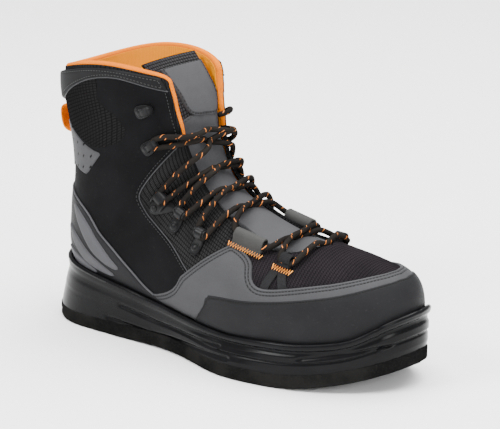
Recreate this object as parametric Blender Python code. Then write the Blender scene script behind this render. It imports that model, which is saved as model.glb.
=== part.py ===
"""Wading boot, right foot, empty and standing on its felt sole.

Frame: +X to the toe, +Y to the inner (medial) side, +Z up. The origin is on the ground,
under the middle of the sole's length and width. Sizes are in millimetres and the meshes are built in metres.
The upper is a fan of sections: each runs from a ridge point on the front centre line to a base
point under the foot or on the back of the heel, and row numbers count up from toe to collar.
A girth value is 0 on the ridge line and 1 on the base line.
"""
import math

import bmesh
import bpy
import numpy as np
from mathutils import Vector
from mathutils.geometry import delaunay_2d_cdt, tessellate_polygon

MM = 0.001

# Driving dimensions
LENGTH = 318.0
BALL_WIDTH = 118.0
SIDE_SHIFT = -0.95
INSTEP_HEIGHT = 116.0
SHAFT_HEIGHT = 165.0
FRONT_RISE = 77.0
COLLAR_CAMBER = 11.0
FELT_THICK = 10.5
HEEL_RISE = 20.0
FOREFOOT_RISE = 14.0
TOE_SPRING = 18.0
ARCH_RISE = 1.2
HEEL_BEVEL = 2.5
HEEL_ROUND = 46.0
TOE_ROUND = 90.0
UPPER_TOE_ROUND = 80.0
UPPER_WALL = 2.8
COLLAR_WALL = 6.0
LIP_WIDTH = 3.4
FELT_OVERHANG = 0.8
INSOLE_THICK = 4.5
TONGUE_THICK = 4.5
TONGUE_TOP_LENGTH = 23.0
TONGUE_TOP_ROUND = 0.55
OVERLAY_THICK = 1.2
FIN_THICK = 0.8
WEBBING_THICK = 1.4
HARDWARE_THICK = 1.2
HOOK_WIDTH = 7.0
LOCK_HOOK_WIDTH = 9.0
GUIDE_WIDTH = 7.0
TUNNEL_LENGTH = 27.0
LOW_LOOP_WIDTH = 11.0
PULL_LOOP_WIDTH = 13.0
PULL_LOOP_REACH = 9.5
PULL_LOOP_HALF = 8.0
PULL_LOOP_ROW = 18.95
HOOK_TAIL = 8.0
GUIDE_TAIL = 9.5
LOW_LOOP_TAIL = 17.0
LOW_LOOP_SEAT = 1.6
TUNNEL_TAIL = 6.0
EYE_CLEARANCE = 0.6
LACE_DIAMETER = 4.6
LACE_STEPS = 8
GAP = 0.4
FOREFOOT_GAP = 0.5
TONGUE_GAP = 1.3
INSOLE_GAP = 0.6
OUTER_LAYER = GAP + OVERLAY_THICK + GAP
LIP_CLEARANCE = 1.1
FIN_CLEARANCE = 1.0
LACE_CLEARANCE = 0.7
FELT_EDGE = 1.0

# Upper: one row for each section, lengths as shares of the sizes in the column names.
SECTION_COLUMNS = ("ridge_x_of_length", "base_x_of_length", "ridge_of_instep", "ridge_of_front_rise",
                   "base_of_shaft", "lateral_of_ball", "medial_of_ball", "centre_of_ball",
                   "widest_share", "crown_power", "base_power")
SECTIONS = (
    (.483, .483, .427, 0, 0, .381, .364, .127, .34, 2.60, 5.0),
    (.479, .478, .496, 0, 0, .386, .369, .125, .34, 2.50, 5.0),
    (.461, .459, .582, 0, 0, .390, .373, .120, .34, 2.40, 5.0),
    (.425, .421, .638, 0, 0, .398, .381, .110, .34, 2.20, 5.0),
    (.368, .365, .677, 0, 0, .415, .390, .093, .34, 2.05, 5.0),
    (.305, .302, .707, 0, 0, .441, .398, .072, .34, 1.95, 5.0),
    (.239, .236, .741, 0, 0, .458, .398, .051, .34, 1.90, 5.0),
    (.173, .167, .784, 0, 0, .462, .386, .034, .34, 1.85, 5.0),
    (.110, .094, .845, 0, 0, .449, .369, .021, .34, 1.85, 5.0),
    (.053, .013, .918, 0, 0, .424, .347, .010, .34, 1.90, 5.0),
    (.013, -.079, 1.0, 0, 0, .390, .331, .004, .35, 1.95, 4.5),
    (-.016, -.176, 1.0, .136, 0, .364, .322, 0, .37, 2.00, 4.0),
    (-.031, -.277, 1.0, .279, 0, .352, .322, 0, .39, 2.10, 3.5),
    (-.041, -.365, 1.0, .409, 0, .347, .326, 0, .41, 2.20, 3.0),
    (-.047, -.431, 1.0, .526, .030, .347, .331, 0, .43, 2.30, 2.6),
    (-.050, -.462, 1.0, .630, .152, .347, .335, 0, .45, 2.40, 2.4),
    (-.053, -.462, 1.0, .721, .303, .347, .339, 0, .46, 2.40, 2.3),
    (-.057, -.450, 1.0, .799, .461, .347, .343, 0, .47, 2.40, 2.3),
    (-.057, -.450, 1.0, .864, .612, .352, .347, 0, .48, 2.40, 2.3),
    (-.060, -.464, 1.0, .916, .758, .360, .356, 0, .49, 2.40, 2.3),
    (-.063, -.478, 1.0, .961, .891, .369, .364, 0, .50, 2.40, 2.3),
    (-.069, -.476, 1.0, 1.0, 1.0, .369, .364, 0, .50, 2.40, 2.3),
)
LAST_ROW = len(SECTIONS) - 1
TOE_POWER = 2.3

# Rows and girth steps of the faceted shell
ROWS = np.array([0, .5, 1, 1.5, 2, 2.6, 3.3, 4.1, 5, 5.5, 6, 6.6, 7.3, 8, 9, 10, 11, 12, 13, 13.6, 14.2,
                 15, 16, 17, 18, 19, 20, 21], float)
GIRTH_STEPS = 11
FLOOR_STEPS = 2
ROW_SPACING = 18.0
GIRTH_LENGTH = 130.0
BOTTOM_OPENING_GIRTH = 0.9
HEEL_CLOSING_ROWS = (12.7, 13.6)
INSOLE_ROWS = (1.5, 2, 3.3, 5, 6.6, 8, 9, 10, 11, 12, 13, 13.6, 14.2, 15)

# Throat edge: girth from the ridge line at each row
THROAT = ((5.5, 0), (5.8, .09), (6.2, .165), (7.0, .19), (8.4, .173), (10.0, .168), (12.0, .172),
          (14.0, .185), (15.3, .195), (17.8, .225), (20.0, .233), (21.0, .222))

# Sole: half widths and centre line at equal steps from heel to toe, as shares of the ball width
SOLE_COLUMNS = ("lateral_of_ball", "medial_of_ball", "centre_of_ball")
SOLE = (
    (.364, .364, 0), (.364, .364, 0), (.364, .361, 0), (.363, .342, 0), (.367, .322, 0),
    (.424, .350, .003), (.501, .414, .014), (.504, .463, .032), (.476, .455, .060),
    (.442, .428, .097), (.406, .395, .137),
)
# Height of the midsole's lip over the felt: share of the sole's length from the heel, height
LIP = ((0, 39), (.03, 39), (.115, 36), (.205, 32), (.28, 29), (.35, 24.5), (.45, 21.5), (.61, 18.5),
       (.66, 20), (.735, 22.5), (.80, 22), (.895, 21), (.93, 23.5), (.965, 29), (1, 30))
# Side of the midsole under its lip: share of height down, share of flare, bulge in mm
SIDE = ((.16, .02, 0), (.22, .06, -1.3), (.32, .16, -.5), (.54, .48, .2), (.60, .54, -1.1),
        (.67, .60, 0), (1.0, 1.0, 0))

# Edges of the overlays: (row, girth) corners
RAND_TOP = ((0, 0), (2.15, 0), (2.4, .16), (3.65, .31), (5.2, .37), (7.15, .44), (8.35, .475),
            (8.8, .503), (9.15, .68))
FOREFOOT_TOP = ((2.8, 0), (2.95, .10), (3.85, .233), (5.35, .312), (6.6, .37), (7.1, .35), (7.3, .262),
                (8.25, .245), (8.45, .273), (9.6, .44), (10.6, .625))
QUARTER_EDGE = ((14.3, .215), (13.9, .37), (13.5, .41), (10.85, .405), (9.8, .45))
COUNTER_TOP = ((10.7, .645), (12.05, .535), (14.75, .538), (16.65, .75), (17.1, 1.0))
ANKLE_PATCH = ((17.0, .525), (18.45, .76), (18.3, 1.0), (17.7, 1.0), (17.5, .735), (16.75, .62), (16.75, .60))
CUFF_EDGE = ((19.3, .245), (20.0, .39), (20.3, .49), (19.9, .69), (19.7, .76), (19.4, 1.0))
CUFF_TOP_ROW = 20.75
FOREFOOT_END_ROW = 10.12
COUNTER_END_ROW = 10.2
SHAFT_TOP_ROW = 19.1
SEAM_GIRTH = 0.008
FINS = (
    ((12.15, .60), (13.9, .578), (15.0, .625), (15.9, .70)),
    ((12.2, .652), (13.85, .648), (14.8, .70), (15.4, .765)),
    ((12.9, .700), (13.7, .705), (14.3, .745), (14.8, .80)),
)
FIN_HALF_GIRTH = 0.017

# Tongue: how far its centre lies behind the ridge line at each row
TONGUE_SINK = ((5.1, .3), (7, .4), (8, .8), (9, 1.6), (10, 4), (11, 7.5), (12, 9), (13, 9), (15, 7.5),
               (17, 7), (18, 8), (19, 11), (20, 17), (21, 25))
TONGUE_ROWS = (5.1, 5.7, 6.5, 7.3, 8.2, 9.2, 10.2, 11.2, 12.2, 13.5, 15.3, 17.5, 19.5, 21)
TONGUE_OVERLAP = 0.055
TONGUE_LEAN = (-.62, 0, .785)

# Lace fittings, lowest first: row and girth of the middle of each
LOW_LOOP = (6.15, .215)
TUNNEL = (7.75, .20)
GUIDES = ((9.6, .30), (10.95, .308))
LOCK_HOOK = (12.35, .335)
SPEED_HOOKS = ((15.65, .32), (18.1, .345))


def spline(table, position):
    """Natural cubic spline through the rows of a table; position counts rows."""
    rows = np.asarray(table, float)
    count = len(rows)
    matrix = np.eye(count)
    right = np.zeros_like(rows)
    for i in range(1, count - 1):
        matrix[i, i - 1:i + 2] = (1, 4, 1)
        right[i] = 6 * (rows[i + 1] - 2 * rows[i] + rows[i - 1])
    bend = np.linalg.solve(matrix, right)
    position = np.clip(np.asarray(position, float), 0, count - 1)
    i = np.minimum(position.astype(int), count - 2)
    t = (position - i)[..., None]
    straight = (1 - t) * rows[i] + t * rows[i + 1]
    return straight + ((1 - t) ** 3 - (1 - t)) * bend[i] / 6 + (t ** 3 - t) * bend[i + 1] / 6


def smooth(value):
    value = np.clip(value, 0, 1)
    return value * value * (3 - 2 * value)


def along(points, position):
    """Straight-line interpolation through (position, value) pairs."""
    places, values = np.array(points, float).T
    return np.interp(position, places, values)


def sole_share(x):
    return np.clip((x + LENGTH / 2) / LENGTH, 0, 1)


def sole_lift(x):
    """Height of the sole's lower side over the ground from toe spring and arch."""
    share = sole_share(x)
    spring = TOE_SPRING * np.clip((share - .72) / .28, 0, 1) ** 2
    return spring + ARCH_RISE * np.sin(math.pi * np.clip((share - .22) / .36, 0, 1)) ** 2


def footbed(x):
    share = sole_share(x)
    rise = HEEL_RISE + (FOREFOOT_RISE - HEEL_RISE) * smooth((share - .3) / .35)
    return FELT_THICK + rise + .85 * TOE_SPRING * np.clip((share - .72) / .28, 0, 1) ** 2


def lip_height(x):
    return sole_lift(x) + FELT_THICK + along(LIP, sole_share(x))


def sole_edge(x, side):
    """Y of the sole's outline at x; side is -1 lateral, +1 medial."""
    lateral, medial, centre = (spline(SOLE, sole_share(x) * (len(SOLE) - 1)) * BALL_WIDTH).T
    half = np.where(side < 0, lateral, medial)
    for depth in ((x + LENGTH / 2) / HEEL_ROUND, (LENGTH / 2 - x) / TOE_ROUND):
        half = half * (1 - (1 - np.clip(depth, 0, 1)) ** 2.2) ** (1 / 2.2)
    return SIDE_SHIFT + centre + side * half


def skin(row, girth, side):
    """Point of the upper's outer surface. Each section is a superellipse whose widest place,
    crown and base powers change from row to row."""
    row, girth = np.broadcast_arrays(np.asarray(row, float), np.asarray(girth, float))
    column = dict(zip(SECTION_COLUMNS, np.moveaxis(spline(SECTIONS, row), -1, 0)))
    ridge_x = LENGTH * column["ridge_x_of_length"]
    base_x = LENGTH * column["base_x_of_length"]
    ridge_z = FELT_THICK + INSTEP_HEIGHT * column["ridge_of_instep"]
    ridge_z = ridge_z + FRONT_RISE * column["ridge_of_front_rise"]
    base_z = footbed(base_x) + SHAFT_HEIGHT * column["base_of_shaft"]
    half = BALL_WIDTH * (column["lateral_of_ball"] if side < 0 else column["medial_of_ball"])
    depth = (LENGTH * SECTIONS[0][0] - (ridge_x + base_x) / 2) / UPPER_TOE_ROUND
    half = half * (1 - (1 - np.clip(depth, 0, 1)) ** TOE_POWER) ** (1 / TOE_POWER)
    angle = girth * math.pi
    power = np.where(girth <= .5, column["crown_power"], column["base_power"])
    widest = column["widest_share"]
    lift = np.abs(np.cos(angle)) ** (2 / power)
    share = np.where(girth <= .5, widest + (1 - widest) * lift, widest * (1 - lift))
    camber = COLLAR_CAMBER * smooth((row - LAST_ROW + 5) / 5) * np.sin(math.pi * share)
    x = base_x + share * (ridge_x - base_x)
    across = np.where(girth < 1, np.abs(np.sin(angle)), 0) ** (2 / power)
    y = SIDE_SHIFT + BALL_WIDTH * column["centre_of_ball"] + side * half * across
    return np.stack([x, y, base_z + share * (ridge_z - base_z) + camber], -1)


def wall(row):
    return UPPER_WALL + (COLLAR_WALL - UPPER_WALL) * smooth((row - 12) / 5)


def throat(row):
    return along(THROAT, row) * (np.asarray(row) > THROAT[0][0])


def bottom_edge(row):
    start, end = HEEL_CLOSING_ROWS
    return BOTTOM_OPENING_GIRTH + (1 - BOTTOM_OPENING_GIRTH) * smooth((row - start) / (end - start))


def unit(vector):
    return vector / np.maximum(np.linalg.norm(vector, axis=-1, keepdims=True), 1e-9)


def skin_normals(rows, girths):
    """Unit normals of both sides from central differences. On the ridge, the base line and the
    toe's tip the two sides share one normal, level with the mid plane."""
    step = .012
    normals = {}
    for side in (-1, 1):
        across = skin(rows, np.clip(girths + step, 0, 1), side) - skin(rows, np.clip(girths - step, 0, 1), side)
        lengthwise = skin(np.clip(rows + .08, 0, LAST_ROW), girths, side)
        lengthwise = lengthwise - skin(np.clip(rows - .08, 0, LAST_ROW), girths, side)
        normals[side] = unit(np.cross(lengthwise, across) * -side)
    middle = ((girths < 1e-6) | (girths > 1 - 1e-6) | (rows < 1e-6))[..., None]
    shared = unit((normals[-1] + normals[1]) * (1, 0, 1))
    return {side: np.where(middle, shared, normals[side]) for side in (-1, 1)}


class Sheet:
    """Open surface of quads whose coinciding points are shared."""

    def __init__(self, grids):
        self.points = []
        self.faces = []
        self.indices = []
        known = {}
        for grid in grids:
            index = np.zeros(grid.shape[:2], int)
            for place in np.ndindex(grid.shape[:2]):
                key = tuple(np.round(grid[place], 3) + 0.0)
                if key not in known:
                    known[key] = len(self.points)
                    self.points.append(grid[place])
                index[place] = known[key]
            self.indices.append(index)
            for i in range(grid.shape[0] - 1):
                for j in range(grid.shape[1] - 1):
                    ring = [index[i, j], index[i + 1, j], index[i + 1, j + 1], index[i, j + 1]]
                    if i == 0:
                        self.add_face(ring[:3])
                        self.add_face([ring[0], ring[2], ring[3]])
                    else:
                        self.add_face(ring)
        self.points = np.array(self.points)

    def add_face(self, corners):
        kept = [c for n, c in enumerate(corners) if c != corners[n - 1]]
        if len(set(kept)) < len(kept) or len(kept) < 3:
            return
        same = [face for face in self.faces if set(face) == set(kept)] if len(kept) == 3 else []
        if same:
            self.faces.remove(same[0])
        else:
            self.faces.append([int(c) for c in kept])


class Shell:
    """The upper's facets, on which every overlay and fitting is placed."""

    def __init__(self):
        count = GIRTH_STEPS + FLOOR_STEPS + 1
        self.girths = np.zeros((len(ROWS), count))
        for i, row in enumerate(ROWS):
            edge = bottom_edge(row)
            self.girths[i, :GIRTH_STEPS + 1] = np.linspace(throat(row), edge, GIRTH_STEPS + 1)
            self.girths[i, GIRTH_STEPS:] = np.linspace(edge, 1, FLOOR_STEPS + 1)
        rows = np.repeat(ROWS[:, None], count, 1)
        self.points = {side: skin(rows, self.girths, side) for side in (-1, 1)}
        self.normals = skin_normals(rows, self.girths)

    def evaluate(self, row, girth, side):
        """Point and normal at any row and girth, from the four corners of the facet there."""
        row, girth = np.broadcast_arrays(np.asarray(row, float), np.asarray(girth, float))
        point = np.zeros(row.shape + (3,))
        normal = np.zeros(row.shape + (3,))
        for place in np.ndindex(row.shape):
            i = int(np.clip(np.searchsorted(ROWS, row[place], side="right") - 1, 0, len(ROWS) - 2))
            share = (row[place] - ROWS[i]) / (ROWS[i + 1] - ROWS[i])
            steps = (1 - share) * self.girths[i] + share * self.girths[i + 1]
            j = int(np.clip(np.searchsorted(steps, girth[place], side="right") - 1, 0, len(steps) - 2))
            part = (girth[place] - steps[j]) / max(steps[j + 1] - steps[j], 1e-9)
            for values, result in ((self.points, point), (self.normals, normal)):
                grid = values[side]
                near = (1 - share) * grid[i, j] + share * grid[i + 1, j]
                far = (1 - share) * grid[i, j + 1] + share * grid[i + 1, j + 1]
                result[place] = (1 - part) * near + part * far
        return point, unit(normal)

    def raised(self, row, girth, side, height):
        point, normal = self.evaluate(row, girth, side)
        return point + normal * np.asarray(height)[..., None]

    def level_line(self, side, offset, height, choice=ROWS, conform=True):
        """Rows and girths where the surface, moved out by offset, crosses height(x)."""
        samples = np.linspace(.25, 1, 61)

        def crossing(row):
            points = self.raised(np.full(samples.shape, row), samples, side, offset(row))
            values = points[:, 2] - height(points[:, 0])
            if values[-1] > 0:
                return None
            below = int(np.argmax(values < 0))
            if below == 0:
                return float(samples[0])
            part = values[below - 1] / (values[below - 1] - values[below])
            return float(samples[below - 1] + part * (samples[1] - samples[0]))

        line = [(float(row), crossing(row)) for row in choice]
        line = [place for place in line if place[1] is not None]
        low, high = line[-1][0], float(min(row for row in choice if row > line[-1][0]))
        for _ in range(20):
            middle = (low + high) / 2
            low, high = (middle, high) if crossing(middle) is not None else (low, middle)
        line.append((high, 1.0))
        if conform:
            line = sorted(set(line + self.column_crossings(line, crossing)))
        return tuple(np.array(line).T)

    def level_lines(self, offset, height, choice=ROWS, conform=True):
        """The level line of each side, on the same rows."""
        rows = np.concatenate([self.level_line(side, offset, height, choice, conform)[0] for side in (-1, 1)])
        rows = sorted(set(np.round(rows, 4)))
        rows = [row for n, row in enumerate(rows) if n == 0 or row - rows[n - 1] > .01 or row in choice]
        inner = [row for row in rows if row < rows[-1] - .01] + [LAST_ROW]
        return {side: self.level_line(side, offset, height, inner, False) for side in (-1, 1)}

    def column_crossings(self, line, crossing):
        """Places where the line passes from one girth step of the facets to the next."""
        found = []
        for (row, girth), (next_row, next_girth) in zip(line, line[1:]):
            start = girth - self.columns(row)
            end = next_girth - self.columns(next_row)
            for j in np.nonzero((start * end < 0) & (np.abs(start) > .004) & (np.abs(end) > .004))[0]:
                low, high = row, next_row
                for _ in range(14):
                    middle = (low + high) / 2
                    offset = (crossing(middle) or 1.0) - self.columns(middle)[j]
                    low, high = (middle, high) if offset * start[j] > 0 else (low, middle)
                if min(low - row, next_row - low) > .01:
                    found.append((low, float(self.columns(low)[j])))
        return found

    def columns(self, row):
        """Girth steps of the facets at any row."""
        i = int(np.clip(np.searchsorted(ROWS, row, side="right") - 1, 0, len(ROWS) - 2))
        share = (row - ROWS[i]) / (ROWS[i + 1] - ROWS[i])
        return (1 - share) * self.girths[i] + share * self.girths[i + 1]

    def cut(self, outline):
        """Triangles of the shell's facets inside an outline of (row, girth) corners, with the
        places of their corners: a constrained Delaunay triangulation over the facets' own edges."""
        shape = self.girths.shape
        count = len(outline)
        corners = [(float(row), float(girth)) for row, girth in outline]
        turn = sum(a[0] * b[1] - b[0] * a[1] for a, b in zip(corners, corners[1:] + corners[:1]))
        corners = corners if turn > 0 else corners[::-1]
        corners += [(float(ROWS[i]), float(self.girths[i, j])) for i, j in np.ndindex(shape)]
        edges = []
        for i, j in np.ndindex(shape):
            here = count + i * shape[1] + j
            if i + 1 < shape[0]:
                edges.append((here, here + shape[1]))
            if j + 1 < shape[1]:
                edges.append((here, here + 1))
        scaled = [Vector((row * ROW_SPACING, girth * GIRTH_LENGTH)) for row, girth in corners]
        found = delaunay_2d_cdt(scaled, edges, [list(range(count))], 1, 1e-4)
        places = np.array([(point[0] / ROW_SPACING, point[1] / GIRTH_LENGTH) for point in found[0]])
        inside = [list(face) for face, source in zip(found[2], found[5]) if source]
        return inside, np.round(places, 5)

    def strips(self, rows, low, high):
        """Row and girth grids between two girth limits, on the shell's own girth steps."""
        girths = np.array([np.clip(self.columns(r), a, b) for r, a, b in zip(rows, low, high)])
        return np.repeat(np.asarray(rows, float)[:, None], girths.shape[1], 1), girths


def material(name, colour, roughness, metallic=0.0):
    made = bpy.data.materials.new(name)
    made.use_nodes = True
    shader = made.node_tree.nodes["Principled BSDF"]
    shader.inputs["Base Color"].default_value = (*colour, 1)
    shader.inputs["Roughness"].default_value = roughness
    shader.inputs["Metallic"].default_value = metallic
    made.diffuse_color = (*colour, 1)
    return made


def add_object(name, points, faces, surface):
    """Closed object from points in millimetres, with its faces pointing out."""
    mesh = bpy.data.meshes.new(name)
    shape = bmesh.new()
    corners = [shape.verts.new(Vector(point) * MM) for point in points]
    for face in faces:
        shape.faces.new([corners[c] for c in face])
    bmesh.ops.recalc_face_normals(shape, faces=shape.faces)
    if shape.calc_volume(signed=True) < 0:
        bmesh.ops.reverse_faces(shape, faces=shape.faces)
    shape.to_mesh(mesh)
    shape.free()
    mesh.materials.append(surface)
    mesh.shade_smooth()
    mesh.set_sharp_from_angle(angle=math.radians(40))
    made = bpy.data.objects.new(name, mesh)
    bpy.context.scene.collection.objects.link(made)
    return made


def add_slab(name, outer_grids, inner_grids, surface):
    """Solid between two matching sets of grids, closed along their free edges."""
    sheet = Sheet(outer_grids)
    inner = np.zeros_like(sheet.points)
    for index, grid in zip(sheet.indices, inner_grids):
        inner[index.ravel()] = grid.reshape(-1, 3)
    return add_thick_sheet(name, sheet, inner, surface)


def add_thick_sheet(name, sheet, inner, surface):
    """Solid between a sheet and its matching inner points, closed along the sheet's free edges."""
    count = len(sheet.points)
    faces = []
    edges = {}
    for face in sheet.faces:
        for start, end in zip(face, face[1:] + face[:1]):
            edges.setdefault(frozenset((start, end)), []).append((start, end))
    apart = np.linalg.norm(sheet.points - inner, axis=1) > 1e-3
    lower = [n + count if apart[n] else n for n in range(count)]
    for face in sheet.faces:
        faces.append(face)
        below = [lower[n] for n in face[::-1]]
        if set(below) != set(face):
            faces.append(below)
    for ends in edges.values():
        if len(ends) == 1:
            start, end = ends[0]
            ring = [end, start, lower[start], lower[end]]
            ring = [n for k, n in enumerate(ring) if n != ring[k - 1]]
            if len(set(ring)) > 2:
                faces.append(ring)
    used = sorted({n for face in faces for n in face})
    place = {n: k for k, n in enumerate(used)}
    points = np.vstack([sheet.points, inner])[used]
    return add_object(name, points, [[place[n] for n in face] for face in faces], surface)


def add_overlay(shell, name, outlines, height, thick, surface):
    """Patch of the upper's own facets inside an outline for each side, raised by height."""
    sheet = Sheet([])
    points, normals, known = [], [], {}
    for side, outline in outlines.items():
        faces, places = shell.cut(outline)
        used = sorted({corner for face in faces for corner in face})
        spots, directions = shell.evaluate(*places[used].T, side)
        index = {}
        for corner, spot, direction in zip(used, spots, directions):
            key = tuple(np.round(spot, 3) + 0.0)
            if key not in known:
                known[key] = len(points)
                points.append(spot)
                normals.append(direction)
            index[corner] = known[key]
        for face in faces:
            sheet.add_face([index[corner] for corner in face])
    points, normals = np.array(points), np.array(normals)
    sheet.points = points + normals * (height + thick)
    return add_thick_sheet(name, sheet, points + normals * height, surface)


def build_upper(shell, surface):
    kept = GIRTH_STEPS + 1
    thickness = np.repeat(wall(ROWS)[:, None], kept, 1)[..., None]
    outer = [shell.points[side][:, :kept] for side in (-1, 1)]
    inner = [shell.points[side][:, :kept] - shell.normals[side][:, :kept] * thickness for side in (-1, 1)]
    return add_slab("upper", outer, inner, surface)


def sole_stations(shell):
    """Lip line of the cup on both sides and the X of the sole's outline beside each of its points."""
    lips = shell.level_lines(lambda row: GAP, lip_height)
    edges = {side: shell.raised(*lips[side], side, GAP) for side in (-1, 1)}
    middle = (edges[-1][:, 0] + edges[1][:, 0]) / 2
    share = (middle - middle[-1]) / (middle[0] - middle[-1])
    return lips, edges, LENGTH * (share - .5)


def build_midsole(shell, surface):
    """Cup whose inside is the upper's surface with a gap and whose side flares to the felt."""
    lips, edges, stations = sole_stations(shell)
    bottom = sole_lift(stations) + FELT_THICK + GAP
    centre = (sole_edge(stations, -1) + sole_edge(stations, 1)) / 2
    grids = []
    for side in (-1, 1):
        rows, girths = lips[side]
        edge = edges[side]
        grids.append(shell.raised(*shell.strips(rows, girths, np.ones(len(rows))), side, GAP))
        normal = shell.evaluate(rows, girths, side)[1] * (1, 1, 0)
        outward = unit(normal)[:, :2]
        rim = edge[:, :2] + outward * LIP_WIDTH
        foot = np.stack([stations, sole_edge(stations, side)], -1) * (1 - 2 * FELT_OVERHANG / LENGTH)
        levels = [edge, np.column_stack([edge[:, :2] + outward * LIP_WIDTH / 2, edge[:, 2] + .6]),
                  np.column_stack([rim, edge[:, 2] - .6])]
        for down, flare, bulge in SIDE:
            place = (1 - flare) * rim + flare * foot + outward * bulge
            levels.append(np.column_stack([place, (1 - down) * edge[:, 2] + down * bottom]))
        levels.append(np.column_stack([foot[:, 0], centre * (1 - 2 * FELT_OVERHANG / LENGTH), bottom]))
        grids.append(np.stack(levels, 1))
    for level in range(grids[1].shape[1]):
        for end in (0, -1):
            shared = (grids[1][end, level] + grids[3][end, level]) / 2
            grids[1][end, level] = shared
            grids[3][end, level] = shared
    for end in (0, -1):
        grids[0][end, 0] = grids[2][end, 0] = grids[1][end, 0]
    sheet = Sheet(grids)
    return add_object("midsole", sheet.points, sheet.faces, surface)


def build_felt(shell, surface):
    """Felt sheet with upright edges, flat on the ground under heel and forefoot."""
    stations = sole_stations(shell)[2]
    bevel = HEEL_BEVEL * np.clip((.05 - sole_share(stations)) / .05, 0, 1)
    low = sole_lift(stations) + bevel
    top = sole_lift(stations) + FELT_THICK
    centre = (sole_edge(stations, -1) + sole_edge(stations, 1)) / 2
    grids = []
    for side in (-1, 1):
        edge = sole_edge(stations, side)
        inset = edge + (centre - edge) * .02
        middle = np.column_stack([stations, centre, top])
        grids.append(np.stack([middle, np.column_stack([stations, inset, top]),
                               np.column_stack([stations, edge, top - FELT_EDGE]),
                               np.column_stack([stations, edge, low + FELT_EDGE]),
                               np.column_stack([stations, inset, low]),
                               np.column_stack([stations, centre, low])], 1))
    sheet = Sheet(grids)
    return add_object("outsole_felt", sheet.points, sheet.faces, surface)


def build_insole(shell, surface):
    """Insert that fills the upper's floor up to one height over the footbed."""
    def top(x):
        return footbed(x) + UPPER_WALL + INSOLE_GAP + INSOLE_THICK

    lower, upper = [], []
    lines = shell.level_lines(lambda row: -wall(row) - INSOLE_GAP, top, INSOLE_ROWS, False)
    for side, (rows, girths) in lines.items():
        grid_rows, grid_girths = shell.strips(rows, girths, np.ones(len(rows)))
        under = shell.raised(grid_rows, grid_girths, side, -wall(grid_rows) - INSOLE_GAP)
        over = under.copy()
        over[..., 2] = top(under[..., 0])
        at_edge = grid_girths <= girths[:, None] + 1e-9
        over[at_edge] = under[at_edge]
        lower.append(under)
        upper.append(over)
    return add_slab("insole", upper, lower, surface)


def tongue_half_girth(row):
    return np.maximum(throat(row), .085) + TONGUE_OVERLAP


def build_tongue(surface):
    """Padded tongue under the throat's edges, sunk behind the ridge line in the middle."""
    rows = np.array(TONGUE_ROWS)
    shares = np.linspace(0, 1, 6)
    grid_rows = np.repeat(rows[:, None], len(shares), 1)
    girths = tongue_half_girth(rows)[:, None] * shares
    normals = skin_normals(grid_rows, girths)
    sink = along(TONGUE_SINK, rows)[:, None] * np.cos(math.pi / 2 * shares) ** 2
    outer, inner = [], []
    for side in (-1, 1):
        depth = (wall(grid_rows) + TONGUE_GAP + sink)[..., None]
        face = skin(grid_rows, girths, side) - normals[side] * depth
        rear = face - normals[side] * TONGUE_THICK
        lean = unit(np.array(TONGUE_LEAN)) * TONGUE_TOP_LENGTH * (1 - TONGUE_TOP_ROUND * shares ** 2)[:, None]
        face = np.concatenate([face, face[-1:] + lean * .5, face[-1:] * (1, .95, 1) + lean])
        rear = np.concatenate([rear, rear[-1:] + lean * .5, rear[-1:] * (1, .95, 1) + lean])
        outer.append(face)
        inner.append(rear)
    return add_slab("tongue", outer, inner, surface)


def throat_edge(start, end, inset):
    """Corners along the throat's edge from one row to another."""
    rows = ROWS[(ROWS > min(start, end)) & (ROWS < max(start, end))]
    rows = np.array([min(start, end), *rows, max(start, end)])
    corners = [(float(row), float(throat(row)) + inset) for row in rows]
    return corners if start < end else corners[::-1]


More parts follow.
